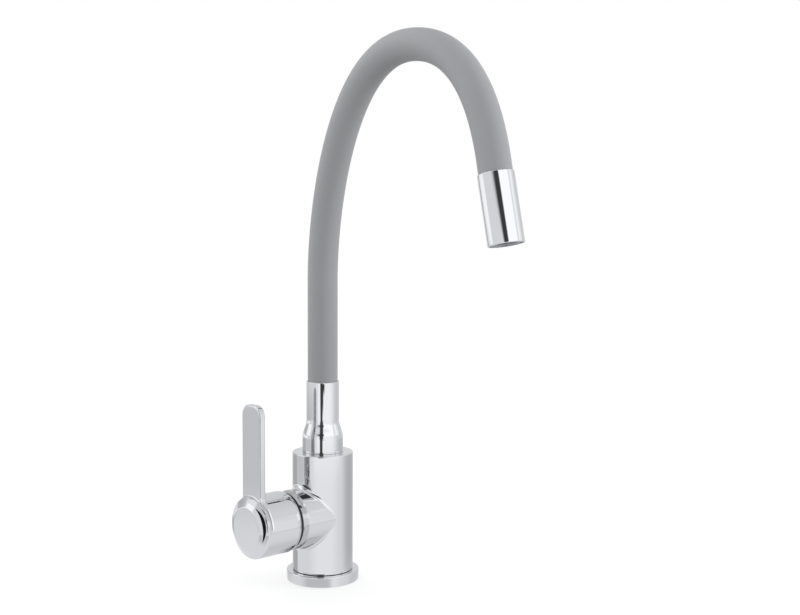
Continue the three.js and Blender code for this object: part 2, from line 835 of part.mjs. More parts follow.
function aeratorSeal() {
  const end = aeratorSealStart + aeratorSealThickness;
  return ring(aeratorSealHole, aeratorOuterRadius, aeratorSealStart, end, innerSides);
}

function aeratorHousing() {
  const lipRadius = aeratorInnerRadius - aeratorLipWidth;
  return turned([
    [lipRadius, aeratorRecess],
    [aeratorOuterRadius, aeratorRecess],
    [aeratorOuterRadius, aeratorTop],
    [aeratorInnerRadius, aeratorTop],
    [aeratorInnerRadius, aeratorRecess + aeratorLipDepth],
    [lipRadius, aeratorRecess + aeratorLipDepth],
  ], innerSides);
}

function aeratorScreen() {
  const radius = aeratorInnerRadius - gap;
  const end = screenStart + screenThickness;
  const cuts = [];
  const furthest = Math.hypot(1, screenHolesOut);
  const pitch = (radius - aeratorLipWidth - screenHole / 2) / furthest;
  for (let i = -screenHolesOut; i <= screenHolesOut; i += 1) {
    for (let k = -screenHolesOut; k <= screenHolesOut; k += 1) {
      if (Math.hypot(i, k) <= furthest) {
        const hole = block(screenHole, screenHole, screenStart - overrun, end + overrun);
        cuts.push(hole.translate(i * pitch, k * pitch, 0));
      }
    }
  }
  return carve([bar(radius, screenStart, end, innerSides)], cuts);
}

function aeratorInsert() {
  const radius = aeratorInnerRadius - gap;
  const start = screenStart + screenThickness + gap;
  const end = start + insertThickness;
  const cuts = [];
  for (let i = 0; i < insertHoles; i += 1) {
    const turn = (i / insertHoles) * 2 * Math.PI;
    const hole = bar(insertHoleRadius, start - overrun, end + overrun, hexSides);
    const reach = radius * insertRingShare;
    cuts.push(hole.translate(reach * Math.cos(turn), reach * Math.sin(turn), 0));
  }
  return carve([bar(radius, start, end, innerSides)], cuts);
}

// The assembly
const tap = new THREE.Group();
tap.name = 'mixer_tap';

tap.add(meshOf('base_plate', basePlate(), chrome));
tap.add(meshOf('base_seal', baseSeal(), rubber));
tap.add(meshOf('valve_body', valveBody(), chrome));
tap.add(meshOf('spout_lock_screw', lockScrew(), steel));

const handleAxis = handleFrame();
for (const [side, [rise, spread]] of Object.entries(portPlaces)) {
  const seal = meshOf(`port_seal_${side}`, portSeal(), rubber);
  seal.position.set(rise, spread, 0);
  handleAxis.add(seal);
}
handleAxis.add(meshOf('cartridge_base', cartridgeBase(), whitePlastic));
handleAxis.add(meshOf('cartridge_housing', cartridgeHousing(), bluePlastic));
handleAxis.add(meshOf('fixed_disc', fixedDisc(), ceramic));
handleAxis.add(meshOf('moving_disc', movingDisc(), ceramic));
handleAxis.add(meshOf('disc_carrier', discCarrier(), whitePlastic));
handleAxis.add(meshOf('spindle_carrier', spindleCarrier(), whitePlastic));
handleAxis.add(meshOf('stem', stem(), brass));
handleAxis.add(meshOf('stem_pin', stemPin(), steel));
handleAxis.add(meshOf('cartridge_nut', cartridgeNut(), brass));
handleAxis.add(meshOf('nut_cover_ring', coverRing(), greyPlastic));
handleAxis.add(meshOf('lever_handle', leverHandle(), chrome));
handleAxis.add(meshOf('handle_grub_screw', grubScrew(), steel));
handleAxis.add(meshOf('grub_screw_plug', screwPlug(), greyPlastic));
tap.add(handleAxis);

tap.add(meshOf('spout_socket', spoutSocket(), chrome));
tap.add(meshOf('spigot_o_ring_lower', spigotORing(lowerORingHeight), rubber));
tap.add(meshOf('spigot_o_ring_upper', spigotORing(upperORingHeight), rubber));
tap.add(meshOf('spigot_bearing_lower', bearingRing(lowerBearingHeight), whitePlastic));
tap.add(meshOf('spigot_bearing_upper', bearingRing(upperBearingHeight), whitePlastic));

const sleeveTube = hoseTube(hoseRadius, hoseSides, coreRadius + gap, coreSides);
const coreTube = hoseTube(coreRadius, coreSides, tubeRadius + gap, tubeSides);
const waterTube = hoseTube(tubeRadius, tubeSides, tubeRadius - tubeWall, tubeSides);
tap.add(meshOf('hose_sleeve', sleeveTube, silicone));
tap.add(meshOf('gooseneck_core', coreTube, steel));
tap.add(meshOf('water_tube', waterTube, whitePlastic));

const lowerFerrule = meshOf('hose_ferrule_lower', ferrule(ferruleSeatDepth), brass);
lowerFerrule.position.z = socketTop - hoseSeatDepth - ferruleSeatDepth + gap;
tap.add(lowerFerrule);

const outlet = outletFrame();
const upperFerrule = meshOf('hose_ferrule_upper', ferrule(outletFerruleDepth), brass);
upperFerrule.position.z = sleeveLength - hoseInsertion - outletFerruleDepth;
outlet.add(upperFerrule);
outlet.add(meshOf('outlet_sleeve', outletSleeve(), chrome));
outlet.add(meshOf('aerator_seal', aeratorSeal(), rubber));
outlet.add(meshOf('aerator_housing', aeratorHousing(), greyPlastic));
outlet.add(meshOf('aerator_insert', aeratorInsert(), whitePlastic));
outlet.add(meshOf('aerator_screen', aeratorScreen(), steel));
tap.add(outlet);

export default tap;
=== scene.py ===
"""Looks for a single-lever kitchen mixer tap whose spout is a hose held in an arch.

The packed solids are the fixed frame. The pieces that show, the base seal, the spigot's rings and the
aerator's housing, screen and insert are made again here as fine surfaces in the same places. The other
pieces keep their solids and get a finish. Lengths are in metres, and the rows of sizes in millimetres.
The origin is on the tap's upright axis at the worktop, +Z is up, the spout arches towards -Y and the
handle points towards -X.
"""

import math

import bmesh
import bpy
import numpy as np
from mathutils import Matrix, Vector
from mathutils.geometry import delaunay_2d_cdt


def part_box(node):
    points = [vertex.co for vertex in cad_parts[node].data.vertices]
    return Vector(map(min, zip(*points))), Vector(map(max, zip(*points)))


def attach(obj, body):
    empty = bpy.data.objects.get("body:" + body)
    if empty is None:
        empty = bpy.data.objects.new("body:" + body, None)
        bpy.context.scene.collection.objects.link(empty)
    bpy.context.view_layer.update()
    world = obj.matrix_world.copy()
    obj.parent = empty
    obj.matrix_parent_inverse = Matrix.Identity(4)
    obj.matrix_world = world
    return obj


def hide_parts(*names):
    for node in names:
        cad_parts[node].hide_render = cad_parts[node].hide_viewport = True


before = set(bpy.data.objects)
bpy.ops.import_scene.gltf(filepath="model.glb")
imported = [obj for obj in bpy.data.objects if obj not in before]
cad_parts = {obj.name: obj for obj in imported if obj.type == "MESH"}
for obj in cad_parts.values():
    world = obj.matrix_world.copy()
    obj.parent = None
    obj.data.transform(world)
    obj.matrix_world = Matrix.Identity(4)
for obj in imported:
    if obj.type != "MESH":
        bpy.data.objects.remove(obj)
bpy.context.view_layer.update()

bl_info = {
    "name": "Mixer Tap",
    "version": (1, 0, 0),
    "blender": (4, 5, 0),
    "location": "3D View > Sidebar > Mixer Tap",
    "description": "Makes the visible pieces, finishes and studio of a kitchen mixer tap",
    "category": "Object",
}

MM = 0.001
HALF_TURN = math.pi
TURN = 2 * math.pi
QUARTER = math.pi / 2

# Fineness of the meshes
COLUMNS = 180  # round a turned piece
STEP = TURN / COLUMNS
ARC_STEP = math.radians(9)
LEAST_ARC_STEPS = 3
GUARD = 0.35 * MM  # from a round edge to the next row on the flat beside it
LONG_STRAIGHT = 3 * GUARD  # a straight longer than this gets its guards
WELD = 0.001 * MM
SHARP = math.radians(35)  # an edge that turns more than this isn't shaded smooth
APRON_EASE = 1.5  # above 1, an apron's rows are closer together at its hole
APRON_ROWS = 14

# Fits shared with the solids
GAP = 0.3 * MM
SOFT_EDGE = 0.3 * MM
FINE_EDGE = 0.15 * MM
SOCKET_LIFT = 0.06  # millimetres from the body's top to the socket's foot

# The solids' own limits, low and high
PLATE_LOW, PLATE_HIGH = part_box("base_plate")
_, SEAL_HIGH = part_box("base_seal")
BODY_LOW, BODY_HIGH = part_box("valve_body")
SOCKET_LOW, SOCKET_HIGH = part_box("spout_socket")


def numbers(rows, scale, **settings):
    """Properties from rows of name: (value, description), each value times the scale."""
    return {
        name: bpy.props.FloatProperty(
            name=name.replace("_", " ").capitalize(), description=text, default=value * scale, **settings
        )
        for name, (value, text) in rows.items()
    }


def lengths(**rows):
    """Lengths, written in millimetres."""
    return numbers(rows, MM, min=0, unit="LENGTH", precision=5)


def angles(**rows):
    """Angles, written in degrees."""
    return numbers(rows, math.radians(1), unit="ROTATION")


def shares(**rows):
    return numbers(rows, 1, min=0, max=1, subtype="FACTOR")


def colours(**rows):
    return {
        name: bpy.props.FloatVectorProperty(
            name=name.replace("_", " ").capitalize(),
            description=text,
            default=colour,
            size=3,
            min=0,
            max=1,
            subtype="COLOR",
        )
        for name, (colour, text) in rows.items()
    }


class PlateSizes(bpy.types.PropertyGroup):
    """The base plate and the seal in its underside."""

    __annotations__ = lengths(
        radius=(PLATE_HIGH.x / MM, "Outer radius of the plate"),
        top=(PLATE_HIGH.z / MM, "Height of the plate's top"),
        lift=(PLATE_LOW.z / MM, "Height of the plate's underside"),
        bore=(20.4, "Radius of the hole for the body's foot"),
        edge=(0.8, "Rounding of the top edge"),
        flank=(0.25, "How much narrower the underside is than the top"),
        seal_inner=(23, "Inner radius of the seal"),
        seal_outer=(SEAL_HIGH.x / MM, "Outer radius of the seal"),
        seal_top=(SEAL_HIGH.z / MM, "Height of the seal"),
    )


class BodySizes(bpy.types.PropertyGroup):
    """The valve body: an upright cylinder with a side boss."""

    __annotations__ = lengths(
        radius=(25, "Radius of the cylinder"),
        bottom=(9.1, "Height of the cylinder's lower edge"),
        top=(BODY_HIGH.z / MM, "Height of the cylinder's top"),
        edge=(0.8, "Rounding of the top edge"),
        foot_radius=(20.1, "Radius of the foot inside the plate"),
        foot_bottom=(BODY_LOW.z / MM, "Height of the foot's underside"),
        boss_height=(55, "Height of the boss's axis"),
        boss_radius=(24.3, "Radius of the boss"),
        boss_reach=(-BODY_LOW.x / MM, "From the tap axis to the boss's end"),
        boss_fillet=(3.5, "Rounding where boss and cylinder meet"),
        sweep_radius=(26.59, "Radius of the ball that rounds the boss's end"),
        sweep_reach=(24, "From the tap axis to the middle of that ball"),
        nut_bore=(18.6, "Radius of the bore for the cartridge nut"),
        nut_seat=(29.5, "From the tap axis to the end of the nut bore"),
        cartridge_bore=(17.8, "Radius of the bore for the cartridge"),
        cartridge_seat=(4, "From the tap axis to the cartridge's seat"),
        spout_bore=(12.3, "Radius of the bore for the spigot"),
        spout_floor=(82.4, "Height of the floor of the spout bore"),
        lock_radius=(2.3, "Radius of the hole for the lock screw"),
        lock_height=(99.4, "Height of the lock screw"),
        port_radius=(4.6, "Radius of the two water inlets"),
        port_depth=(13, "Depth of the two water inlets"),
        port_place=(5, "From the tap axis back to the water inlets"),
        port_spread=(7.5, "From the middle to each water inlet"),
        stud_radius=(3.4, "Radius of the fixing stud's hole"),
        stud_depth=(12, "Depth of the fixing stud's hole"),
        stud_place=(11, "From the tap axis to the fixing stud"),
    )


class HandleSizes(bpy.types.PropertyGroup):
    """The lever handle: a hollow drum on the stem, with a flat blade standing on it."""

    __annotations__ = {
        **lengths(
            radius=(25.1, "Radius of the drum"),
            rear=(39.8, "From the tap axis to the drum's rear rim"),
            front=(78, "From the tap axis to the drum's front face"),
            front_round=(3, "Rounding of the drum's front edge"),
            face_radius=(17.2, "Radius of the flat front face"),
            face_edge=(3.5, "Rounding of the front face's edge"),
            rear_round=(5, "Length of the drum's rear rounding"),
            rear_drop=(2.2, "How much the rear rounding narrows the drum"),
            rim_inner=(21.88, "Inner radius of the rear rim"),
            pocket=(20.8, "Inner radius of the drum"),
            pocket_mouth=(41.2, "Where the rim widens to the pocket"),
            pocket_floor=(73, "From the tap axis to the pocket's floor"),
            hub_radius=(7.5, "Radius of the hub round the stem"),
            hub_rear=(41, "From the tap axis to the hub's end"),
            square_side=(7.6, "Side of the square hole for the stem"),
            square_end=(60.2, "From the tap axis to the square hole's end"),
            blade_half=(12.2, "Half the blade's width"),
            blade_rear=(67, "From the tap axis to the blade's rear face"),
            blade_front=(72.5, "From the tap axis to the blade's front face"),
            blade_top=(98.5, "From the handle's axis to the blade's top"),
            blade_corner=(9, "Rounding of the blade's two upper corners"),
            blade_edge=(1.2, "Rounding of the blade's edges"),
            foot_side=(2.5, "Fillet at the blade's narrow sides"),
            foot_face=(1, "Fillet at the blade's front and rear"),
            screw_reach=(47.8, "From the tap axis to the grub screw"),
            screw_hole=(2.3, "Radius of the grub screw's hole"),
            screw_floor=(21.8, "From the handle's axis to the hole's floor"),
            plug_radius=(2, "Radius of the plug over the grub screw"),
            plug_length=(3, "Length of the plug"),
            plug_end=(24.95, "From the handle's axis to the plug's face"),
        ),
        **angles(
            front_slope=(27, "How much the ring round the front face leans back"),
            screw_turn=(135, "From straight up round to the grub screw"),
        ),
    }


class SocketSizes(bpy.types.PropertyGroup):
    """The spout socket: a shouldered sleeve for the hose, with a grooved spigot below."""

    __annotations__ = lengths(
        radius=(16.8, "Radius of the lower part"),
        bottom=(BODY_HIGH.z / MM + SOCKET_LIFT, "Height of the lower edge"),
        shoulder_low=(119.2, "Height where the shoulder starts"),
        shoulder_high=(134.7, "Height where the shoulder ends"),
        neck=(13.5, "Radius of the upper part"),
        top=(SOCKET_HIGH.z / MM, "Height of the top"),
        edge=(0.5, "Rounding of the top edge"),
        spigot=(12, "Radius of the spigot"),
        spigot_end=(SOCKET_LOW.z / MM, "Height of the spigot's end"),
        hose_seat=(12.6, "Radius of the hose's seat"),
        hose_stop=(140.3, "Height of the hose seat's floor"),
        ferrule_seat=(9.6, "Radius of the ferrule's seat"),
        ferrule_stop=(128.3, "Height of the ferrule seat's floor"),
        waterway=(5, "Radius of the waterway"),
        ring_thick=(1, "Radius of the O-rings' section"),
        ring_middle=(11, "Radius of the O-rings' middle line"),
        bearing_inner=(10.8, "Inner radius of the bearing rings"),
        bearing_width=(2.6, "Width of the bearing rings"),
    )


class HoseSizes(bpy.types.PropertyGroup):
    """The hose: its section, and the middle line it is held in."""

    __annotations__ = {
        **lengths(
            radius=(12.3, "Outer radius of the hose"),
            bore=(9.4, "Radius of the hose's bore"),
            start=(140.6, "Height of the hose's lower end"),
            riser_top=(250, "Height where the hose leaves the upright"),
            riser_pull=(62.5, "How far the upright runs on into the arch"),
            arch_reach=(104, "From the tap axis to the arch's highest point"),
            arch_height=(430.4, "Height of the middle line's highest point"),
            rear_pull=(77.4, "Flatness of the arch behind its highest point"),
            front_pull=(73, "Flatness of the arch before its highest point"),
            outlet_reach=(193, "From the tap axis to the outlet sleeve's top"),
            outlet_height=(334.2, "Height of the outlet sleeve's top"),
            outlet_pull=(17.7, "How far the sleeve's direction runs up the hose"),
            insertion=(16, "How far the hose goes into the outlet sleeve"),
        ),
        **angles(outlet_tilt=(12.6, "Outward from straight down")),
    }


class OutletSizes(bpy.types.PropertyGroup):
    """The outlet sleeve and the aerator in its mouth, measured up from the sleeve's lower end."""

    __annotations__ = lengths(
        radius=(13.3, "Radius of the sleeve"),
        length=(51, "Length of the sleeve"),
        edge=(0.5, "Rounding of the sleeve's edges"),
        hose_stop=(34.7, "Where the hose's seat ends"),
        ferrule_stop=(22.7, "Where the ferrule's seat ends"),
        aerator_bore=(11.8, "Radius of the bore for the aerator"),
        aerator_depth=(16, "Depth of the bore for the aerator"),
        housing_radius=(11.5, "Radius of the aerator's housing"),
        housing_bore=(9.7, "Radius of the housing's bore"),
        housing_low=(0.8, "How far the housing is set in"),
        housing_high=(13.4, "Where the housing ends"),
        lip_radius=(8.3, "Radius of the housing's mouth"),
        lip_high=(2, "Where the housing's lip ends"),
        screen_radius=(9.4, "Radius of the screen and of the insert"),
        screen_low=(2.3, "Where the screen starts"),
        screen_high=(3.1, "Where the screen ends"),
        wire_pitch=(1.15, "From one wire of the screen to the next"),
        wire_radius=(0.19, "Radius of the screen's wires"),
        insert_low=(3.4, "Where the insert starts"),
        insert_high=(7.4, "Where the insert ends"),
        insert_hole=(0.9, "Radius of the insert's holes"),
        insert_ring=(5.83, "Radius of the circle that the holes are on"),
    )


class Finishes(bpy.types.PropertyGroup):
    """Colours of the finishes."""

    __annotations__ = colours(
        polished_chrome=((0.66, 0.668, 0.685), "Plate on brass"),
        bare_brass=((0.72, 0.52, 0.25), "Turned and left unplated"),
        plain_steel=((0.55, 0.56, 0.57), "Stainless"),
        grey_silicone=((0.31, 0.312, 0.322), "Smooth and matte"),
        black_rubber=((0.022, 0.022, 0.024), "Matte"),
        white_plastic=((0.78, 0.77, 0.73), "Moulded"),
        blue_plastic=((0.07, 0.16, 0.33), "Moulded"),
        grey_plastic=((0.42, 0.43, 0.45), "Moulded"),
        white_ceramic=((0.86, 0.85, 0.81), "Lapped"),
        # painted shade: a dark finish for the seams and the insides of the polished pieces
        raw_casting=((0.05, 0.05, 0.053), "Dull, inside the polished pieces"),
    )


class StudioLook(bpy.types.PropertyGroup):
    """The camera, the floor and the light."""

    __annotations__ = {
        "camera_place": bpy.props.FloatVectorProperty(
            name="Camera place",
            description="Where the camera stands",
            default=(-640.82 * MM, -798.89 * MM, 316.26 * MM),
            size=3,
            subtype="TRANSLATION",
            unit="LENGTH",
        ),
        **numbers({"lens": (56.25, "Focal length")}, 1, min=1, unit="CAMERA"),
        **numbers({"lamp_power": (8, "Power of a full lamp")}, 1, min=0, unit="POWER"),
        **angles(
            camera_heading=(42.287, "From +Y towards +X"),
            camera_pitch=(4.991, "Downward from level"),
            camera_roll=(0.304, "Anticlockwise about the view"),
        ),
        **lengths(
            floor_radius=(750, "Radius of the floor"),
            lamp_distance=(1400, "From the tap to each lamp"),
            lamp_size=(1000, "Width of each lamp"),
        ),
        **shares(
            floor_glow=(0.68, "The floor's own white as the camera sees it"),
            floor_shade=(0.3, "How much light and shadow the floor shows"),
            wall_fill=(0.98, "How brightly the room lights matte surfaces"),
        ),
    }


GROUPS = {
    "plate": PlateSizes,
    "body": BodySizes,
    "handle": HandleSizes,
    "socket": SocketSizes,
    "hose": HoseSizes,
    "outlet": OutletSizes,
    "finishes": Finishes,
    "studio": StudioLook,
}


class TapSizes(bpy.types.PropertyGroup):
    """Everything that a user may change."""

    __annotations__ = {
        name: bpy.props.PointerProperty(type=kind, name=name.capitalize(), description=kind.__doc__)
        for name, kind in GROUPS.items()
    }


# Shader maths: an expression on values adds its nodes


class Value:
    """One number, colour or vector on its way through a node tree. The operators add Math nodes."""

    def __init__(self, net, socket):
        self.net = net
        self.socket = socket

    def __add__(self, other):
        return self.net.math("ADD", self, other)

    def __sub__(self, other):
        return self.net.math("SUBTRACT", self, other)

    def __rsub__(self, other):
        return self.net.math("SUBTRACT", other, self)

    def __mul__(self, other):
        return self.net.math("MULTIPLY", self, other)

    def __truediv__(self, other):
        return self.net.math("DIVIDE", self, other)

    def __pow__(self, other):
        return self.net.math("POWER", self, other)

    __radd__ = __add__
    __rmul__ = __mul__


class Net:
    """Adds nodes to one node tree."""

    def __init__(self, tree):
        tree.nodes.clear()
        self.tree = tree

    def add(self, kind, settings=None, inputs=None):
        """A node of a kind, with its settings made first and then its sockets fed."""
        node = self.tree.nodes.new(kind)
        for name, setting in (settings or {}).items():
            setattr(node, name, setting)
        sockets = {socket.identifier: socket for socket in node.inputs}
        for name, value in (inputs or {}).items():
            self.feed(sockets.get(name) or node.inputs[name], value)
        return node

    def value(self, kind, output, settings=None, inputs=None):
        """The named output of a new node."""
        node = self.add(kind, settings, inputs)
        sockets = {socket.identifier: socket for socket in node.outputs}
        return Value(self, sockets.get(output) or node.outputs[output])

    def feed(self, socket, value):
        if isinstance(value, Value):
            self.tree.links.new(value.socket, socket)
        else:
            socket.default_value = value

    def math(self, operation, *terms):
        node = self.add("ShaderNodeMath", {"operation": operation})
        for socket, term in zip(node.inputs, terms):
            self.feed(socket, term)
        return Value(self, node.outputs[0])

    def mix(self, factor, a, b):
        """Colour a where the factor is 0, b where it is 1."""
        inputs = {"Factor_Float": factor, "A_Color": a, "B_Color": b}
        return self.value("ShaderNodeMix", "Result_Color", {"data_type": "RGBA"}, inputs)

    def apart(self, vector):
        """The three numbers of a vector."""
        node = self.add("ShaderNodeSeparateXYZ", inputs={"Vector": vector})
        return [Value(self, socket) for socket in node.outputs]

    def join(self, x, y, z):
        """A vector of three numbers."""
        return self.value("ShaderNodeCombineXYZ", "Vector", inputs={"X": x, "Y": y, "Z": z})

    def noise(self, vector, scale, detail):
        """Smooth noise from 0 to 1, scale times finer than a metre."""
        inputs = {"Vector": vector, "Scale": scale, "Detail": detail}
        return self.value("ShaderNodeTexNoise", "Fac", inputs=inputs)

    def climb(self, value, low, high):
        """0 below low, 1 above high, smooth between."""
        settings = {"interpolation_type": "SMOOTHSTEP"}
        inputs = {"Value": value, "From Min": low, "From Max": high}
        return self.value("ShaderNodeMapRange", "Result", settings, inputs)


# Finishes. Each has: metallic, roughness, how much the roughness wanders, size of the grain in
# grains per metre, height of the grain, how much the colour wanders, and coat.
FINISH_TRAITS = {
    "polished_chrome": (1.0, 0.012, 0.008, 45, 0.001 * MM, 0.02, 0.0),
    # painted shade for the seams and the insides of the polished pieces
    "raw_casting": (0.6, 0.6, 0.1, 1800, 0.03 * MM, 0.15, 0.0),
    "bare_brass": (1.0, 0.3, 0.12, 2400, 0.006 * MM, 0.2, 0.0),
    "plain_steel": (1.0, 0.32, 0.1, 2400, 0.005 * MM, 0.12, 0.0),
    "grey_silicone": (0.0, 0.5, 0.08, 3200, 0.02 * MM, 0.06, 0.0),
    "black_rubber": (0.0, 0.62, 0.1, 2600, 0.02 * MM, 0.2, 0.0),
    "white_plastic": (0.0, 0.42, 0.08, 1400, 0.012 * MM, 0.03, 0.0),
    "blue_plastic": (0.0, 0.4, 0.08, 1400, 0.012 * MM, 0.06, 0.0),
    "grey_plastic": (0.0, 0.38, 0.08, 1400, 0.012 * MM, 0.05, 0.0),
    "white_ceramic": (0.0, 0.18, 0.05, 900, 0.002 * MM, 0.02, 0.3),
}
TURNED_FINISHES = ("bare_brass", "plain_steel")
BROAD_GRAIN = 28  # slow wandering of colour and roughness, in grains per metre
BROAD_DETAIL = 2.0
FINE_DETAIL = 3.0
NOISE_MIDDLE = 0.5
TURNING_STRETCH = 0.04  # how much longer a turning mark is along the lathe's cut than across

# Painted shade and painted highlights on the chrome, standing in for reflections and shade. Radii and
# heights are from the handle's axis, and reaches are along it from the tap's. A pair is where something
# starts and where it is full or ends.
DISC_RADIUS = 20.7 * MM  # the front disc's edge
# the crescent painted dark in place of a dark reflection
PAINTED_CRESCENT_RADIUS = 15.8 * MM
PAINTED_CRESCENT_MIDDLE = (-7.2 * MM, 2.5 * MM)
PAINTED_CRESCENT_REACH = 70 * MM
# the crease: a line of painted shade and a line of painted highlight beside it
CREASE_PAINTED_SHADE = (69.6 * MM, 70.6 * MM)
CREASE_PAINTED_HIGHLIGHT = (68.2 * MM, 69.5 * MM)
CREASE_RISE = (1 * MM, 4 * MM)
CREASE_FALL = (17 * MM, 19 * MM)
# painted shade on the cap, on a blade edge and beside the drum's seam
CAP_REACH = 70.3 * MM
CAP_RISE = (-3 * MM, 4 * MM)
DRUM_SKIN = (25.3 * MM, 25.7 * MM)
BLADE_EDGE = (-12.4 * MM, -11.4 * MM)
BLADE_EDGE_REACH = (71.3 * MM, 71.9 * MM)
BLADE_EDGE_RISE = (25 * MM, 27 * MM)
SEAM_BOSS = (32.4 * MM, 34.2 * MM)
SEAM_MIDDLE = (38.9 * MM, 39.2 * MM)
SEAM_DRUM = (40.2 * MM, 42.6 * MM)
MARK_SOFT = 0.25 * MM
# colours of the painted shade and the painted highlight
PAINTED_SHADE_COLOUR = (0.008, 0.008, 0.009, 1)
PAINTED_HIGHLIGHT_COLOUR = (0.97, 0.97, 0.98, 1)
SEAM_SHADE_SHARES = (0.3, 0.6)
CAP_SHADE_SHARE = 0.22
CREASE_SHARES = (0.55, 0.9)
BLADE_EDGE_SHADE_SHARE = 0.4


def about_handle(net, place, tap):
    """A place by the handle's axis: along it, aside of it, above it and away from it."""
    x, y, z = net.apart(place)
    up = z - tap.body.boss_height
    return x, y, up, (y * y + up * up) ** 0.5


def past(net, value, limit):
    """0 up to a limit and 1 beyond it, smooth over the marks' softness."""
    return net.climb(value, limit, limit + MARK_SOFT)


def band(net, value, low, high):
    """1 between low and high and 0 outside, as smooth."""
    return past(net, value, low) * (1 - net.climb(value, high - MARK_SOFT, high))


def with_painted_light(net, place, tap, shade):
    """Chrome with painted light and shade: a crescent painted dark in place of a dark reflection,
    outside the front disc's circle and inside a second one; behind it a crease round the handle's right
    side, painted as a dark line with a painted highlight line beside it; painted shade on the cap before
    the crease; painted shade on a blade edge; and painted shade beside the drum's seam."""
    x, y, up, away = about_handle(net, place, tap)
    reach = 0 - x
    aside, above = PAINTED_CRESCENT_MIDDLE
    to_middle = ((y - aside) ** 2 + (up - above) ** 2) ** 0.5
    beyond = past(net, away, DISC_RADIUS)
    # the crescent, painted dark in place of a dark reflection
    painted_crescent = beyond * (1 - past(net, to_middle, PAINTED_CRESCENT_RADIUS)) * past(net, reach, PAINTED_CRESCENT_REACH)
    right = past(net, 0 - y, 0) * (1 - net.climb(away, *DRUM_SKIN))
    run = right * net.climb(up, *CREASE_RISE) * (1 - net.climb(up, *CREASE_FALL))
    # painted shade and painted highlight along the crease
    painted_crease_shade = band(net, reach, *CREASE_PAINTED_SHADE) * run
    painted_crease_highlight = band(net, reach, *CREASE_PAINTED_HIGHLIGHT) * run
    # painted shade on the cap, on a blade edge and beside the seam
    cap = right * past(net, reach, CAP_REACH) * beyond * net.climb(up, *CAP_RISE)
    edge = band(net, y, *BLADE_EDGE) * net.climb(reach, *BLADE_EDGE_REACH)
    edge = edge * net.climb(up, *BLADE_EDGE_RISE)
    ahead = net.climb(reach, *SEAM_MIDDLE)
    boss = net.climb(reach, *SEAM_BOSS) * (1 - ahead) * SEAM_SHADE_SHARES[0]
    drum = ahead * (1 - net.climb(reach, *SEAM_DRUM)) * SEAM_SHADE_SHARES[1]
    dark = [cap * CAP_SHADE_SHARE, edge * BLADE_EDGE_SHADE_SHARE, boss + drum, painted_crease_shade * CREASE_SHARES[0], painted_crescent]
    for amount in dark:
        shade = net.mix(amount, shade, PAINTED_SHADE_COLOUR)
    return net.mix(painted_crease_highlight * CREASE_SHARES[1], shade, PAINTED_HIGHLIGHT_COLOUR)


def finish(name, tap):
    """A finish by its slot's name. Slow noise wanders the colour and the roughness about their
    written values, and fine noise raises the grain. On turned metal the fine noise is read at the
    distance from the axis and along it, so that it makes rings."""
    title = f"{name}_finish"
    if title in bpy.data.materials:
        return bpy.data.materials[title]
    metallic, rough, wander, grain, height, mottle, coat = FINISH_TRAITS[name]
    material = bpy.data.materials.new(title)
    material.use_nodes = True
    net = Net(material.node_tree)
    place = net.value("ShaderNodeTexCoord", "Object")
    broad = net.noise(place, BROAD_GRAIN, BROAD_DETAIL)
    spot = place
    if name in TURNED_FINISHES:
        x, y, _, away = about_handle(net, place, tap)
        spot = net.join(x, away, y * TURNING_STRETCH)
    fine = net.noise(spot, grain, FINE_DETAIL)
    written = tuple(getattr(tap.finishes, name))
    darker = tuple(part * (1 - mottle) for part in written)
    lighter = tuple(min(1, part * (1 + mottle)) for part in written)
    shade = net.mix((broad + fine) / 2, (*darker, 1), (*lighter, 1))
    # the polished chrome gets the painted shade and painted highlights of the handle and the seam
    if name == "polished_chrome":
        shade = with_painted_light(net, place, tap, shade)
    bump = {"Strength": 1.0, "Distance": height, "Height": fine}
    inputs = {
        "Base Color": shade,
        "Metallic": metallic,
        "Roughness": rough + (broad - NOISE_MIDDLE) * wander,
        "Coat Weight": coat,
        "Normal": net.value("ShaderNodeBump", "Normal", inputs=bump),
    }
    surface = net.value("ShaderNodeBsdfPrincipled", "BSDF", inputs=inputs)
    net.add("ShaderNodeOutputMaterial", inputs={"Surface": surface})
    return material


# Surfaces. A patch is a pair: points as rows of three, and faces as rows of point numbers.


def unit(vector):
    return vector / np.linalg.norm(vector)


def beside(*parts):
    """Arrays, or one number for all, side by side along a new last axis."""
    return np.stack(np.broadcast_arrays(*parts), axis=-1)


def even(steps):
    """From 0 to 1 in even steps."""
    return np.linspace(0, 1, steps + 1)


def between(start, end, shares):
    """For each share s, the row start (1 - s) + end s."""
    s = np.reshape(shares, (-1,) + (1,) * np.ndim(start))
    return start * (1 - s) + end * s


def about(middle, width):
    """The two ends of a width about its middle."""
    return middle - width / 2, middle + width / 2


def grid(points, wrap_rows=False, wrap_columns=True):
    """A patch of rows by columns of points, with a face between each pair of rows and columns."""
    rows, columns = points.shape[:2]
    index = np.arange(rows * columns).reshape(rows, columns)
    if wrap_rows:
        index = np.vstack([index, index[:1]])
    if wrap_columns:
        index = np.hstack([index, index[:, :1]])
    corners = beside(index[:-1, :-1], index[:-1, 1:], index[1:, 1:], index[1:, :-1])
    return points.reshape(-1, 3), corners.reshape(-1, 4)


def swing(middle, start, end):
    """The arc about a middle from start to end: with spread the angle between the two arms, a share
    s of the way is middle + (start arm sin((1 - s) spread) + end arm sin(s spread)) / sin(spread)."""
    a, b = start - middle, end - middle
    spread = math.acos(np.clip(unit(a) @ unit(b), -1, 1))
    s = even(max(LEAST_ARC_STEPS, math.ceil(spread / ARC_STEP)))[:, None]
    return middle + (np.sin((1 - s) * spread) * a + np.sin(s * spread) * b) / math.sin(spread)


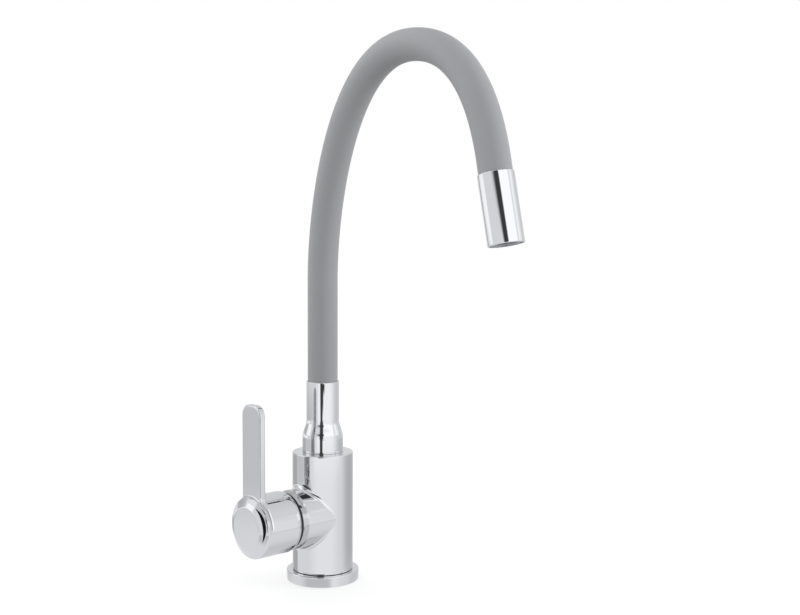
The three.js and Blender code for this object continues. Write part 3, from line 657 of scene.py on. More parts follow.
def rounded(*corners, closed=True):
    """An outline through corners of (radius, height, rounding). Each rounded corner is an arc that
    touches both of its edges, and each long straight gets a guard point beside both of its ends."""
    corners = np.asarray(corners, float)
    parts = []
    for i, (*here, bend) in enumerate(corners):
        here = np.array(here)
        if bend == 0 or not (closed or 0 < i < len(corners) - 1):
            parts.append(here[None])
            continue
        back = unit(corners[i - 1, :2] - here)
        ahead = unit(corners[(i + 1) % len(corners), :2] - here)
        half = math.acos(np.clip(back @ ahead, -1, 1)) / 2
        middle = here + unit(back + ahead) * bend / math.sin(half)
        touch = bend / math.tan(half)
        parts.append(swing(middle, here + back * touch, here + ahead * touch))
    outline = []
    for i, part in enumerate(parts):
        outline.append(part)
        if closed or i + 1 < len(parts):
            start, end = part[-1], parts[(i + 1) % len(parts)][0]
            if np.linalg.norm(end - start) > LONG_STRAIGHT:
                step = unit(end - start) * GUARD
                outline.append(np.array([start + step, end - step]))
    return np.vstack(outline)


def around(outline, columns=COLUMNS, closed=True):
    """An outline turned about Z: (r cos a, r sin a, h) for each of its (r, h) and a in a full turn."""
    turn = np.linspace(0, TURN, columns, endpoint=False)
    radius, height = outline[:, :1], outline[:, 1:]
    return grid(beside(radius * np.cos(turn), radius * np.sin(turn), height), wrap_rows=closed)


def lathe(*corners, columns=COLUMNS, closed=True):
    """The outline through rounded corners, turned about Z."""
    return around(rounded(*corners, closed=closed), columns, closed)


def window(across, up):
    """The points on a rectangle's edge, anticlockwise from its lower left, at the given steps."""
    return np.vstack(
        [
            beside(across[:-1], up[0]),
            beside(across[-1], up[:-1]),
            beside(across[:0:-1], up[-1]),
            beside(across[0], up[:0:-1]),
        ]
    )


def apron(place, hole, rim, rows=APRON_ROWS):
    """The surface between a hole's edge and a rim round it, both loops of (a, b) on that surface. Row
    k of n lies (k / n) ** 1.5 of the way from hole to rim, and place turns (a, b) into points."""
    spots = between(hole, rim, even(rows) ** APRON_EASE)
    return grid(place(spots[..., 0], spots[..., 1]))


def sheet(outer, holes, place):
    """A flat sheet inside an outer loop, less round holes of (middle, radius, loop): Delaunay
    triangles that keep the loops as edges, without those whose middle is in a hole."""
    loops = [outer, *(loop for _, _, loop in holes)]
    edges, start = [], 0
    for loop in loops:
        number = np.arange(len(loop))
        edges += (start + beside(number, np.roll(number, -1))).tolist()
        start += len(loop)
    flat = (np.vstack(loops) / MM).tolist()
    made = delaunay_2d_cdt([Vector(spot) for spot in flat], edges, [], 0, WELD)
    spots = np.array([tuple(spot) for spot in made[0]]) * MM
    faces = np.array(made[2])
    middles = spots[faces].mean(axis=1)
    kept = np.ones(len(faces), bool)
    for middle, radius, _ in holes:
        kept &= np.linalg.norm(middles - middle, axis=1) > radius
    return place(*spots.T), faces[kept]


def circle(middle, radius, count):
    turn = np.linspace(0, TURN, count, endpoint=False)
    return np.asarray(middle) + radius * beside(np.cos(turn), np.sin(turn))


def moved(patch, matrix):
    """A patch carried by a matrix."""
    points, faces = patch
    turn = np.array(matrix)
    return points @ turn[:3, :3].T + turn[:3, 3], faces


def piece(name, patches, slot, body, *nodes, inner=()):
    """Joins patches into one mesh, with seams and poles closed and faces outward, finishes it, the
    inner patches in the dark finish that paints their shade, and makes it ride on its body in the
    place of its solids."""
    points, faces, in_painted_shade = [], [], []
    for number, (places, corners) in enumerate([*patches, *inner]):
        faces += (corners + len(points)).tolist()
        points += places.tolist()
        in_painted_shade += [int(number >= len(patches))] * len(corners)
    mesh = bpy.data.meshes.new(name)
    mesh.from_pydata(points, [], faces)
    for kind in (slot, "raw_casting") if inner else (slot,):
        mesh.materials.append(finish(kind, bpy.context.scene.mixer_tap))
    mesh.polygons.foreach_set("material_index", in_painted_shade)
    work = bmesh.new()
    work.from_mesh(mesh)
    bmesh.ops.remove_doubles(work, verts=work.verts, dist=WELD)
    bmesh.ops.recalc_face_normals(work, faces=work.faces)
    work.to_mesh(mesh)
    work.free()
    mesh.shade_smooth()
    mesh.set_sharp_from_angle(angle=SHARP)
    thing = bpy.data.objects.new(name, mesh)
    bpy.context.scene.collection.objects.link(thing)
    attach(thing, body)
    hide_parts(*nodes)


class MakePlate(bpy.types.Operator):
    """The base plate, a ring with a groove below for its seal, and the seal"""

    bl_idname = "mixer_tap.plate"
    bl_label = "Base plate and seal"

    def execute(self, context):
        plate = context.scene.mixer_tap.plate
        groove = plate.seal_top + GAP
        groove_inner, groove_outer = plate.seal_inner - GAP, plate.seal_outer + GAP
        ring = lathe(
            (plate.bore, plate.lift, FINE_EDGE),
            (groove_inner, plate.lift, FINE_EDGE),
            (groove_inner, groove, 0),
            (groove_outer, groove, 0),
            (groove_outer, plate.lift, FINE_EDGE),
            (plate.radius - plate.flank, plate.lift, FINE_EDGE),
            (plate.radius, plate.top, plate.edge),
            (plate.bore, plate.top, FINE_EDGE),
        )
        piece("base_ring", [ring], "polished_chrome", "body", "base_plate")
        seal = lathe(
            (plate.seal_inner, 0, SOFT_EDGE),
            (plate.seal_outer, 0, SOFT_EDGE),
            (plate.seal_outer, plate.seal_top, SOFT_EDGE),
            (plate.seal_inner, plate.seal_top, SOFT_EDGE),
        )
        piece("base_ring_seal", [seal], "black_rubber", "body", "base_seal")
        return {"FINISHED"}


# Steps of the body's skin, in columns of the turn from -X
BOSS_COLUMNS = 50  # each way
BOSS_ROWS = 44
BOSS_MARGIN = 5.2 * MM  # from the fillet's edge to the window's
LOCK_COLUMNS = (-55, -35)
LOCK_ROWS = 10
LOCK_APRON_ROWS = 9
LOCK_MARGIN = 2.7 * MM
FILLET_ROWS = 10
BARREL_ROWS = 9
END_BLEND_START = 6.5 * MM  # from the boss's end back to where its rounding starts
END_BLEND_END = 1.5 * MM  # and back to where it meets the ball
END_STEPS = 10
SEAM_DEPTH = 0.8 * MM  # how much of the boss's end is painted dark as the shade of the drum's rim
PORT_COLUMNS = 48
TUBE_STEPS = 4


class MakeBody(bpy.types.Operator):
    """The valve body, one surface: the cylinder's skin is open round the boss and the lock screw"""

    bl_idname = "mixer_tap.body"
    bl_label = "Valve body"

    def skin(self, radius):
        """(a, h) to (-r cos a, -r sin a, h): a is the turn from -X towards -Y."""
        return lambda a, h: beside(-radius * np.cos(a), -radius * np.sin(a), h)

    def wall(self, radius, heights, first=0, last=COLUMNS):
        """The skin between two columns at the given heights."""
        turn, height = np.meshgrid(np.arange(first, last + 1) * STEP, heights)
        return grid(self.skin(radius)(turn, height), wrap_columns=False)

    def boss_end(self, body):
        """The boss's end as (radius, reach): a curve that at share b weighs its three points
        (1-b)^2, 2 b (1-b) and b^2 leads from the barrel into the ball's circle and on to the rim."""
        radius, reach, ball = body.boss_radius, body.boss_reach, body.sweep_reach
        start, stop = reach - END_BLEND_START, reach - END_BLEND_END
        end, last = (math.sqrt(body.sweep_radius**2 - (out - ball) ** 2) for out in (stop, reach))
        bend = stop - (radius - end) * end / (stop - ball)
        points = np.array([(radius, start), (radius, bend), (end, stop)])
        b = even(END_STEPS)
        curve = beside((1 - b) ** 2, 2 * b * (1 - b), b**2) @ points
        corners = np.column_stack([curve, np.zeros(len(curve))])
        rim = last - SOFT_EDGE - GUARD
        return rounded(*corners, (last, reach, SOFT_EDGE), (rim, reach, 0), closed=False)

    def boss(self, body, edge):
        """The boss and the apron of skin round it, then the parts of it painted dark as shade: the
        boss's end by the drum's rim, and the bores. At turn t round the boss, a ball of the fillet's
        radius f rests on both surfaces: its middle is (R + f) of the boss up and aside, and out
        sqrt((R + f)^2 - aside^2) of the cylinder. The fillet swings from the touch on the cylinder to
        the touch on the boss."""
        level, fillet, radius = body.boss_height, body.boss_fillet, body.boss_radius
        turn = np.arctan2(body.radius * edge[:, 0], edge[:, 1] - level)
        aside = -(radius + fillet) * np.sin(turn)
        rise = (radius + fillet) * np.cos(turn)
        out = np.sqrt((body.radius + fillet) ** 2 - aside**2)
        to_boss = beside(0, -aside, -rise) / (radius + fillet)
        to_body = beside(out, -aside, 0) / (body.radius + fillet)
        spread = np.arccos((to_boss * to_body).sum(axis=1))[:, None]
        s = even(FILLET_ROWS)[:, None, None]
        ray = (np.sin((1 - s) * spread) * to_body + np.sin(s * spread) * to_boss) / np.sin(spread)
        meeting = grid(beside(-out, aside, level + rise) + fillet * ray)
        skin = apron(self.skin(body.radius), beside(np.arctan2(-aside, out), level + rise), edge)
        end = self.boss_end(body)
        (_, barrel_end), (rim, reach) = end[0], end[-1]
        bores = rounded(
            (rim, reach, 0),
            (body.nut_bore, reach, FINE_EDGE),
            (body.nut_bore, body.nut_seat, 0),
            (body.cartridge_bore, body.nut_seat, 0),
            (body.cartridge_bore, body.cartridge_seat, 0),
            (0, body.cartridge_seat, 0),
            closed=False,
        )
        outs = np.vstack([between(out, barrel_end, even(BARREL_ROWS)), end[1:, 1:] + 0 * out])
        radii = np.vstack([np.full((BARREL_ROWS + 1, 1), radius), end[1:, :1]])
        bright = BARREL_ROWS + int((end[:, 1] < reach - SEAM_DEPTH).sum())
        barrel, shaded, bore = (
            grid(beside(-o, -r * np.sin(turn), level + r * np.cos(turn)))
            for o, r in (
                (outs[:bright], radii[:bright]),
                (outs[bright - 1 :], radii[bright - 1 :]),
                (bores[:, 1:], bores[:, :1]),
            )
        )
        return [skin, meeting, barrel], [shaded, bore]

    def lock(self, body, rim):
        """The lock screw's hole, through from the cylinder's skin to the spout bore's: at turn q
        round the hole both edges lie rho cos q aside and rho sin q up."""
        middle = sum(LOCK_COLUMNS) / 2 * STEP
        turn = np.arctan2(rim[:, 1] - body.lock_height, body.radius * (rim[:, 0] - middle))
        aside = body.lock_radius * np.cos(turn)
        height = body.lock_height + body.lock_radius * np.sin(turn)
        patches, edges = [], []
        for radius in (body.radius, body.spout_bore):
            hole = beside(middle + np.arcsin(aside / radius), height)
            patches.append(apron(self.skin(radius), hole, rim, LOCK_APRON_ROWS))
            edges.append(self.skin(radius)(*hole.T))
        return [*patches, grid(between(*edges, even(TUBE_STEPS)))]

    def foot(self, body):
        """The underside: a flat sheet with two water inlets and the stud's hole, all blind."""
        low = body.foot_bottom
        wells = [
            ((body.port_place, body.port_spread), body.port_radius, body.port_depth),
            ((body.port_place, -body.port_spread), body.port_radius, body.port_depth),
            ((-body.stud_place, 0), body.stud_radius, body.stud_depth),
        ]
        holes = [(np.array(m), r, circle(m, r, PORT_COLUMNS)) for m, r, _ in wells]
        rim = circle((0, 0), body.foot_radius - SOFT_EDGE - GUARD, COLUMNS)
        patches = [sheet(rim, holes, lambda x, y: beside(x, y, low))]
        for (x, y), radius, depth in wells:
            corners = (radius, low, 0), (radius, low + depth, SOFT_EDGE), (0, low + depth, 0)
            well = lathe(*corners, columns=PORT_COLUMNS, closed=False)
            patches.append(moved(well, Matrix.Translation((x, y, 0))))
        return patches

    def execute(self, context):
        body = context.scene.mixer_tap.body
        boss_low, boss_high = about(
            body.boss_height, 2 * (body.boss_radius + body.boss_fillet + BOSS_MARGIN)
        )
        lock_low, lock_high = about(body.lock_height, 2 * (body.lock_radius + LOCK_MARGIN))
        boss_up = np.linspace(boss_low, boss_high, BOSS_ROWS + 1)
        lock_up = np.linspace(lock_low, lock_high, LOCK_ROWS + 1)
        boss_rim = window(np.arange(-BOSS_COLUMNS, BOSS_COLUMNS + 1) * STEP, boss_up)
        lock_rim = window(np.arange(LOCK_COLUMNS[0], LOCK_COLUMNS[1] + 1) * STEP, lock_up)
        below = lathe(
            (body.foot_radius - SOFT_EDGE - GUARD, body.foot_bottom, 0),
            (body.foot_radius, body.foot_bottom, SOFT_EDGE),
            (body.foot_radius, body.bottom, FINE_EDGE),
            (body.radius, body.bottom, SOFT_EDGE),
            (body.radius, boss_low, 0),
            closed=False,
        )
        above = lathe(
            (body.radius, lock_high, 0),
            (body.radius, body.top, body.edge),
            (body.spout_bore, body.top, SOFT_EDGE),
            (body.spout_bore, lock_high, 0),
            closed=False,
        )
        bore = lathe(
            (body.spout_bore, lock_low, 0),
            (body.spout_bore, body.spout_floor, SOFT_EDGE),
            (0, body.spout_floor, 0),
            closed=False,
        )
        beside_lock = LOCK_COLUMNS[1], COLUMNS + LOCK_COLUMNS[0]
        boss, shaded = self.boss(body, boss_rim)
        patches = [
            below,
            self.wall(body.radius, boss_up, BOSS_COLUMNS, COLUMNS - BOSS_COLUMNS),
            self.wall(body.radius, np.linspace(boss_high, lock_low, TUBE_STEPS + 1)),
            self.wall(body.radius, lock_up, *beside_lock),
            above,
            self.wall(body.spout_bore, lock_up, *beside_lock),
            bore,
            *self.lock(body, lock_rim),
            *self.foot(body),
            *boss,
        ]
        # the boss's end by the drum's rim and the bores get the dark finish that paints their shade
        piece("body_casting", patches, "polished_chrome", "body", "valve_body", inner=shaded)
        return {"FINISHED"}


# Steps of the handle's skin, in columns of the turn from straight up
BLADE_COLUMNS = 23  # each way
SCREW_COLUMNS = (63, 72)
SCREW_ROWS = 6
SCREW_MARGIN = 0.7 * MM
SCREW_WALL_SHARES = (0, 0.1, 0.5, 0.9, 1)  # of the way down the grub screw's hole
BLADE_MARGIN = 9 * MM  # from the blade's rear face back to its window
BLADE_ROWS = (10, 14)  # on the straight and on the front rounding
BLADE_ROUND = math.radians(60)  # how far round the front edge the blade's window goes
EDGE_STEPS = 9
SIDE_SHARES = (0.1, 0.3, 0.5, 0.7, 0.9)  # of the way across a narrow side
FACE_STEPS = 44
ROOT_STEPS = 8
ROOT_START = 2  # points by which the section's loop is turned to meet its window's
ROOT_HIGH = 5 * MM  # from the drum's top to where the blade's own rows start
STEM_ROWS = 6
RISE_STEPS = 12
CORNER_STEPS = 16
TOP_STEPS = 5
REAR_STEPS = 12
SHADED_ROWS = 4  # of the rear rounding's steps, from the rim, painted dark as shade
FRONT_STEPS = 2
RIB_WIDTH = 8 * MM
RIB_LENGTH = 5 * MM
RIB_CORNERS = ((-1, -1), (1, -1), (1, 1), (-1, 1))
OTHER_SIDE = (-1, 1, -1, 1)  # turns one side of the blade into the other
OTHER_FACE = (1, -1, 1, -1)  # turns a rear edge into a front one


class MakeHandle(bpy.types.Operator):
    """The lever handle, one surface: drum, pocket, hub, blade and the grub screw's hole"""

    bl_idname = "mixer_tap.handle"
    bl_label = "Lever handle"

    def place(self, radius, turn, out):
        """Radius and turn about the handle's axis, and reach along it, to a point."""
        return beside(-out, -radius * np.sin(turn), self.level + radius * np.cos(turn))

    def straight(self):
        """How far out the drum is straight: its front, less the leaning ring's and the rounding's
        own lengths."""
        handle = self.sizes
        lean = math.sin(handle.front_slope)
        ring = handle.radius - handle.front_round * (1 - lean) - handle.face_radius
        rounding = handle.front_round * math.sqrt(1 - lean**2)
        return handle.front - ring * math.tan(handle.front_slope) - rounding

    def front_arc(self, turn):
        """The front edge's arc at a turn from the straight, as (radius, reach)."""
        bend = self.sizes.front_round
        return self.sizes.radius - bend * (1 - np.cos(turn)), self.straight() + bend * np.sin(turn)

    def drum(self, turn, along):
        """(a, v) on the drum: v runs along the straight and then round the front edge's arc."""
        past = np.maximum(along - self.straight(), 0)
        radius, out = self.front_arc(np.minimum(past / self.sizes.front_round, QUARTER))
        return self.place(radius, turn, np.where(past > 0, out, along))

    def wall(self, steps, first=0, last=COLUMNS):
        turn, along = np.meshgrid(np.arange(first, last + 1) * STEP, steps)
        return grid(self.drum(turn, along), wrap_columns=False)

    def turned(self, outline):
        return grid(self.place(outline[:, :1], np.arange(COLUMNS) * STEP, outline[:, 1:]))

    def inside(self):
        """The rim, pocket and hub, then the square hole: at turn a its radius is half the side over
        the larger of |cos| and |sin| of the angle to its flats."""
        handle = self.sizes
        outline = rounded(
            (handle.radius - handle.rear_drop, handle.rear, 0),
            (handle.rim_inner, handle.rear, SOFT_EDGE),
            (handle.pocket, handle.pocket_mouth, 0),
            (handle.pocket, handle.pocket_floor, SOFT_EDGE),
            (handle.hub_radius, handle.pocket_floor, SOFT_EDGE),
            (handle.hub_radius, handle.hub_rear, SOFT_EDGE),
            (handle.hub_radius - 2 * SOFT_EDGE, handle.hub_rear, 0),
            closed=False,
        )
        turn = np.arange(COLUMNS) * STEP
        flat = turn - QUARTER / 2
        square = handle.square_side / 2 / np.maximum(np.abs(np.cos(flat)), np.abs(np.sin(flat)))
        radii = np.stack([outline[-1, 0] + 0 * square, square, square, 0 * square])
        outs = np.array([handle.hub_rear, handle.hub_rear, handle.square_end, handle.square_end])
        return [self.turned(outline), grid(self.place(radii, turn, outs[:, None]))]

    def rib(self):
        """The rib that holds the grub screw, a block from the hub out to the drum's wall."""
        low, high = self.sizes.hub_radius - GAP, self.sizes.pocket + GAP
        loop = np.array(RIB_CORNERS) * (RIB_WIDTH / 2, RIB_LENGTH / 2)
        rows = np.stack([0 * loop, loop, loop, 0 * loop])
        points = beside(rows[..., 1], rows[..., 0], np.array([low, low, high, high])[:, None])
        return moved(grid(points), self.screw_matrix())

    def screw_matrix(self):
        """Carries local Z onto the grub screw's line, outward from the handle's axis."""
        turn = Matrix.Rotation(self.sizes.screw_turn, 4, "X")
        return Matrix.Translation((-self.sizes.screw_reach, 0, self.level)) @ turn

    def screw(self, rim):
        """The drum round the grub screw's hole, and the hole. At turn q round it, its edge lies
        rho cos q aside on the drum, and its points slide down the hole's line to the floor."""
        handle = self.sizes
        middle = sum(SCREW_COLUMNS) / 2 * STEP
        turn = np.arctan2(rim[:, 1] - handle.screw_reach, handle.radius * (rim[:, 0] - middle))
        aside = handle.screw_hole * np.cos(turn) / handle.radius
        up = handle.screw_reach + handle.screw_hole * np.sin(turn)
        hole = beside(middle + np.arcsin(aside), up)
        edge = self.drum(*hole.T)
        line = np.array([0, -math.sin(handle.screw_turn), math.cos(handle.screw_turn)])
        depth = (edge - (-handle.screw_reach, 0, self.level)) @ line - handle.screw_floor
        floor = edge - depth[:, None] * line
        centre = np.broadcast_to(floor.mean(axis=0), (1, *floor.shape))
        well = np.concatenate([between(edge, floor, SCREW_WALL_SHARES), centre])
        return apron(self.drum, hole, rim, SCREW_ROWS), grid(well)

    def side(self, half):
        """One narrow side of the blade's section, from the rear face to the front: how far it stands
        out from the edge's start, where it is across the thickness, and which way it faces."""
        edge = self.sizes.blade_edge
        q = even(EDGE_STEPS) * QUARTER
        arc = beside(edge * np.sin(q), edge * (1 - np.cos(q)) - half, np.sin(q), -np.cos(q))
        rear = np.vstack([(-GUARD, -half, 0, -1), arc])
        flat = beside(edge, (half - edge) * (2 * np.array(SIDE_SHARES) - 1), 1, 0)
        return np.vstack([rear, flat, rear[::-1] * OTHER_FACE])

    def blade(self, rim):
        """The blade. Its section is a rectangle with rounded edges. At the root a fillet of radius f
        rises from the drum: at angle q it stands f (1 - sin q) off the section and f (1 - cos q)
        above the drum. Above it the section's side is carried up one side, over the two rounded
        corners and down the other, and two flat sheets close the front and the rear."""
        handle = self.sizes
        edge_line = handle.blade_half - handle.blade_edge
        half = (handle.blade_front - handle.blade_rear) / 2
        middle = handle.blade_rear + half
        side = self.side(half)
        left = side + (edge_line, 0, 0, 0)
        ends = np.linspace(-1, 1, FACE_STEPS + 1)[1:-1] * (edge_line - GUARD)
        # the section as a loop: rear face, right side, front face, left side
        rear, front = beside(-ends, -half, 0, -1), beside(ends, half, 0, 1)
        section = np.vstack([rear, left * OTHER_SIDE, front, left[::-1]])
        across, thick, facing, ahead = np.roll(section, ROOT_START, axis=0).T
        foot = handle.foot_face + (handle.foot_side - handle.foot_face) * facing**2
        q = even(ROOT_STEPS)[:, None] * QUARTER
        y = across + facing * foot * (1 - np.sin(q))
        out = middle + thick + ahead * foot * (1 - np.cos(QUARTER - q))
        straight = self.straight()
        bend = np.arcsin(np.clip((out - straight) / handle.front_round, 0, 1))
        radius, _ = self.front_arc(bend)
        root = beside(-out, y, self.level + np.sqrt(radius**2 - y**2) + foot * (1 - np.cos(q)))
        along = np.minimum(out[0], straight) + handle.front_round * bend[0]
        hole = beside(-np.arcsin(y[0] / radius[0]), along)
        start = self.level + handle.radius + ROOT_HIGH
        stem_low = root[-1] + (0, 0, GUARD)
        stem_high = beside(*root[-1, :, :2].T, start)
        stem = np.concatenate([root[-1:], between(stem_low, stem_high, even(STEM_ROWS))])
        # the line that the section's side is carried along, and which way is outward there
        corner = self.level + handle.blade_top - handle.blade_corner
        pull = handle.blade_corner - handle.blade_edge
        rise = np.linspace(start, corner, RISE_STEPS + 1)
        q = even(CORNER_STEPS)[1:] * QUARTER
        bow = beside(edge_line - pull * (1 - np.cos(q)), corner + pull * np.sin(q), np.cos(q), np.sin(q))
        climb = np.vstack([beside(edge_line, rise, 1, 0), bow])
        top = np.linspace(1, -1, TOP_STEPS + 1)[1:-1] * (edge_line - pull)
        line = np.vstack([climb, beside(top, corner + pull, 0, 1), climb[::-1] * OTHER_SIDE])
        line_y, line_z, out_y, out_z = line.T[..., None]
        proud, depth = side[:, 0], side[:, 1]
        band_y, band_z = line_y + out_y * proud, line_z + out_z * proud
        sides = grid(beside(-(middle + depth), band_y, band_z), wrap_columns=False)
        loop = np.vstack([beside(band_y[:, 0], band_z[:, 0]), beside(ends, start)])
        faces = [
            sheet(loop, [], lambda y, z, out=out: beside(-out, y, z))
            for out in (handle.blade_rear, handle.blade_front)
        ]
        return [apron(self.drum, hole, rim), grid(root), grid(stem), sides, *faces]

    def execute(self, context):
        tap = context.scene.mixer_tap
        self.sizes, self.level = tap.handle, tap.body.boss_height
        handle = self.sizes
        straight = self.straight()
        q = np.linspace(-QUARTER, 0, REAR_STEPS + 1)
        rear_radius = handle.radius - handle.rear_drop * (1 - np.cos(q))
        rear = beside(rear_radius, handle.rear + handle.rear_round * (1 + np.sin(q)))
        screw_low, screw_high = about(handle.screw_reach, 2 * (handle.screw_hole + SCREW_MARGIN))
        screw_up = np.linspace(screw_low, screw_high, SCREW_ROWS + 1)
        blade_low = handle.blade_rear - BLADE_MARGIN
        blade_end = straight + handle.front_round * BLADE_ROUND
        on_straight = np.linspace(blade_low, straight, BLADE_ROWS[0] + 1)
        on_round = np.linspace(straight, blade_end, BLADE_ROWS[1] + 1)[1:]
        blade_up = np.concatenate([on_straight, on_round])
        arc = self.front_arc(np.linspace(BLADE_ROUND, QUARTER - handle.front_slope, FRONT_STEPS + 1))
        front = beside(*arc)
        face = rounded(
            (*front[-1], 0),
            (handle.face_radius, handle.front, handle.face_edge),
            (handle.face_radius / 2, handle.front, 0),
            (0, handle.front, 0),
            closed=False,
        )
        screw_rim = window(np.arange(SCREW_COLUMNS[0], SCREW_COLUMNS[1] + 1) * STEP, screw_up)
        blade_rim = window(np.arange(-BLADE_COLUMNS, BLADE_COLUMNS + 1) * STEP, blade_up)
        screw_skin, screw_hole = self.screw(screw_rim)
        patches = [
            self.turned(rear[SHADED_ROWS:]),
            self.wall(np.array([handle.rear + handle.rear_round, screw_low])),
            self.wall(screw_up, SCREW_COLUMNS[1], COLUMNS + SCREW_COLUMNS[0]),
            self.wall(np.linspace(screw_high, blade_low, TUBE_STEPS + 1)),
            self.wall(blade_up, BLADE_COLUMNS, COLUMNS - BLADE_COLUMNS),
            self.turned(np.vstack([front, face[1:]])),
            *self.blade(blade_rim),
            screw_skin,
        ]
        # the inside, the rib, the screw's hole and the rim's last rows get the dark finish that paints
        # their shade
        inner = [*self.inside(), self.rib(), screw_hole, self.turned(rear[: SHADED_ROWS + 1])]
        piece("lever_casting", patches, "polished_chrome", "lever", "lever_handle", inner=inner)
        low = handle.plug_end - handle.plug_length
        plug = lathe(
            (0, low, 0),
            (handle.plug_radius, low, FINE_EDGE),
            (handle.plug_radius, handle.plug_end, SOFT_EDGE),
            (0, handle.plug_end, 0),
            columns=PORT_COLUMNS,
            closed=False,
        )
        plug = moved(plug, self.screw_matrix())
        piece("handle_plug", [plug], "grey_plastic", "lever", "grub_screw_plug")
        return {"FINISHED"}


# Grooves of the spigot: height above its end, width and depth
SPIGOT_GROOVES = (
    (2.6 * MM, 3.2 * MM, 1.5 * MM),
    (6.6 * MM, 2.6 * MM, 2.15 * MM),
    (10.2 * MM, 2.6 * MM, 2.15 * MM),
    (15 * MM, 3.4 * MM, 2 * MM),
    (20 * MM, 3.2 * MM, 1.5 * MM),
)
RING_GROOVES = {"lower": 1, "upper": 2}
BEARING_GROOVES = {"lower": 0, "upper": 4}
SHOULDER_STEPS = 30
RING_STEPS = 20


class MakeSocket(bpy.types.Operator):
    """The spout socket with its shoulder and grooved spigot, and the rings in the grooves"""

    bl_idname = "mixer_tap.socket"
    bl_label = "Spout socket and rings"

    def execute(self, context):
        socket = context.scene.mixer_tap.socket
        spigot, spigot_end = socket.spigot, socket.spigot_end
        grooves = []
        for height, width, depth in SPIGOT_GROOVES:
            low, high = about(spigot_end + height, width)
            floor = spigot - depth
            grooves += [(spigot, low, 0), (floor, low, 0), (floor, high, 0), (spigot, high, 0)]
        # the shoulder narrows as half a cosine wave
        s = even(SHOULDER_STEPS)
        ease = (1 - np.cos(s * HALF_TURN)) / 2
        shoulder = beside(
            socket.radius + (socket.neck - socket.radius) * ease,
            socket.shoulder_low + (socket.shoulder_high - socket.shoulder_low) * s,
            0,
        )
        shell = lathe(
            (socket.waterway, spigot_end, FINE_EDGE),
            (spigot, spigot_end, SOFT_EDGE),
            *grooves,
            (spigot, socket.bottom, FINE_EDGE),
            (socket.radius, socket.bottom, FINE_EDGE),
            *shoulder,
            (socket.neck, socket.top, socket.edge),
            (socket.hose_seat, socket.top, FINE_EDGE),
            (socket.hose_seat, socket.hose_stop, 0),
            (socket.ferrule_seat, socket.hose_stop, 0),
            (socket.ferrule_seat, socket.ferrule_stop, 0),
            (socket.waterway, socket.ferrule_stop, 0),
        )
        piece("hose_socket", [shell], "polished_chrome", "spout", "spout_socket")
        for side, number in RING_GROOVES.items():
            height = spigot_end + SPIGOT_GROOVES[number][0]
            ring = around(circle((socket.ring_middle, height), socket.ring_thick, RING_STEPS))
            piece(f"o_ring_{side}", [ring], "black_rubber", "spout", f"spigot_o_ring_{side}")
        for side, number in BEARING_GROOVES.items():
            low, high = about(spigot_end + SPIGOT_GROOVES[number][0], socket.bearing_width)
            bearing = lathe(
                (socket.bearing_inner, low, FINE_EDGE),
                (spigot, low, SOFT_EDGE),
                (spigot, high, SOFT_EDGE),
                (socket.bearing_inner, high, FINE_EDGE),
            )
            piece(f"bearing_{side}", [bearing], "white_plastic", "spout", f"spigot_bearing_{side}")
        return {"FINISHED"}


HOSE_COLUMNS = 96
RISER_STEPS = 24
ARCH_STEPS = 110
DROP_STEPS = 100
SLEEVE_STEPS = 7


class MakeHose(bpy.types.Operator):
    """The hose: a round section carried up, over the arch and down into the outlet sleeve"""

    bl_idname = "mixer_tap.hose"
    bl_label = "Hose"

    def line(self, hose):
        """The middle line in the plane x = 0 as (y, z), and its directions: a straight, two Bezier
        curves, which at share s weigh their four points (1-s)^3, 3 s (1-s)^2, 3 s^2 (1-s), s^3, and
        a straight along the sleeve."""
        down = np.array([-math.sin(hose.outlet_tilt), -math.cos(hose.outlet_tilt)])
        foot = np.array([0, hose.start])
        bend = np.array([0, hose.riser_top])
        crown = np.array([-hose.arch_reach, hose.arch_height])
        outlet = np.array([-hose.outlet_reach, hose.outlet_height])
        rear = bend, bend + (0, hose.riser_pull), crown + (hose.rear_pull, 0), crown
        front = crown, crown - (hose.front_pull, 0), outlet - down * hose.outlet_pull, outlet
        places = [between(foot, bend, even(RISER_STEPS)[:-1])]
        ways = [np.tile((0, 1), (RISER_STEPS, 1))]
        for (a, b, c, d), steps in ((rear, ARCH_STEPS), (front, DROP_STEPS)):
            s = even(steps)[:-1, None]
            r = 1 - s
            places.append(a * r**3 + 3 * b * s * r**2 + 3 * c * s**2 * r + d * s**3)
            ways.append((b - a) * r**2 + 2 * (c - b) * s * r + (d - c) * s**2)
        places.append(between(outlet, outlet + down * hose.insertion, even(SLEEVE_STEPS)))
        ways.append(np.tile(down, (SLEEVE_STEPS + 1, 1)))
        ways = np.vstack(ways)
        return np.vstack(places), ways / np.linalg.norm(ways, axis=1)[:, None]

    def execute(self, context):
        hose = context.scene.mixer_tap.hose
        places, ways = self.line(hose)
        turn = np.linspace(0, TURN, HOSE_COLUMNS, endpoint=False)
        walls = []
        # at turn a the skin lies r cos a along X and r sin a along the line's own normal
        for radius in (hose.radius, hose.bore):
            aside = radius * np.sin(turn)
            y = places[:, :1] - ways[:, 1:] * aside
            z = places[:, 1:] + ways[:, :1] * aside
            walls.append(beside(radius * np.cos(turn), y, z))
        skin = grid(np.concatenate([walls[0], walls[1][::-1]]), wrap_rows=True)
        piece("hose_skin", [skin], "grey_silicone", "spout", "hose_sleeve")
        return {"FINISHED"}


WIRE_SIDES = 6
WIRE_STEPS_PER_PITCH = 4
LEAST_WIRE_STEPS = 2
SCREEN_RIM = 0.5 * MM
INSERT_HOLES = 8
INSERT_COLUMNS = 16


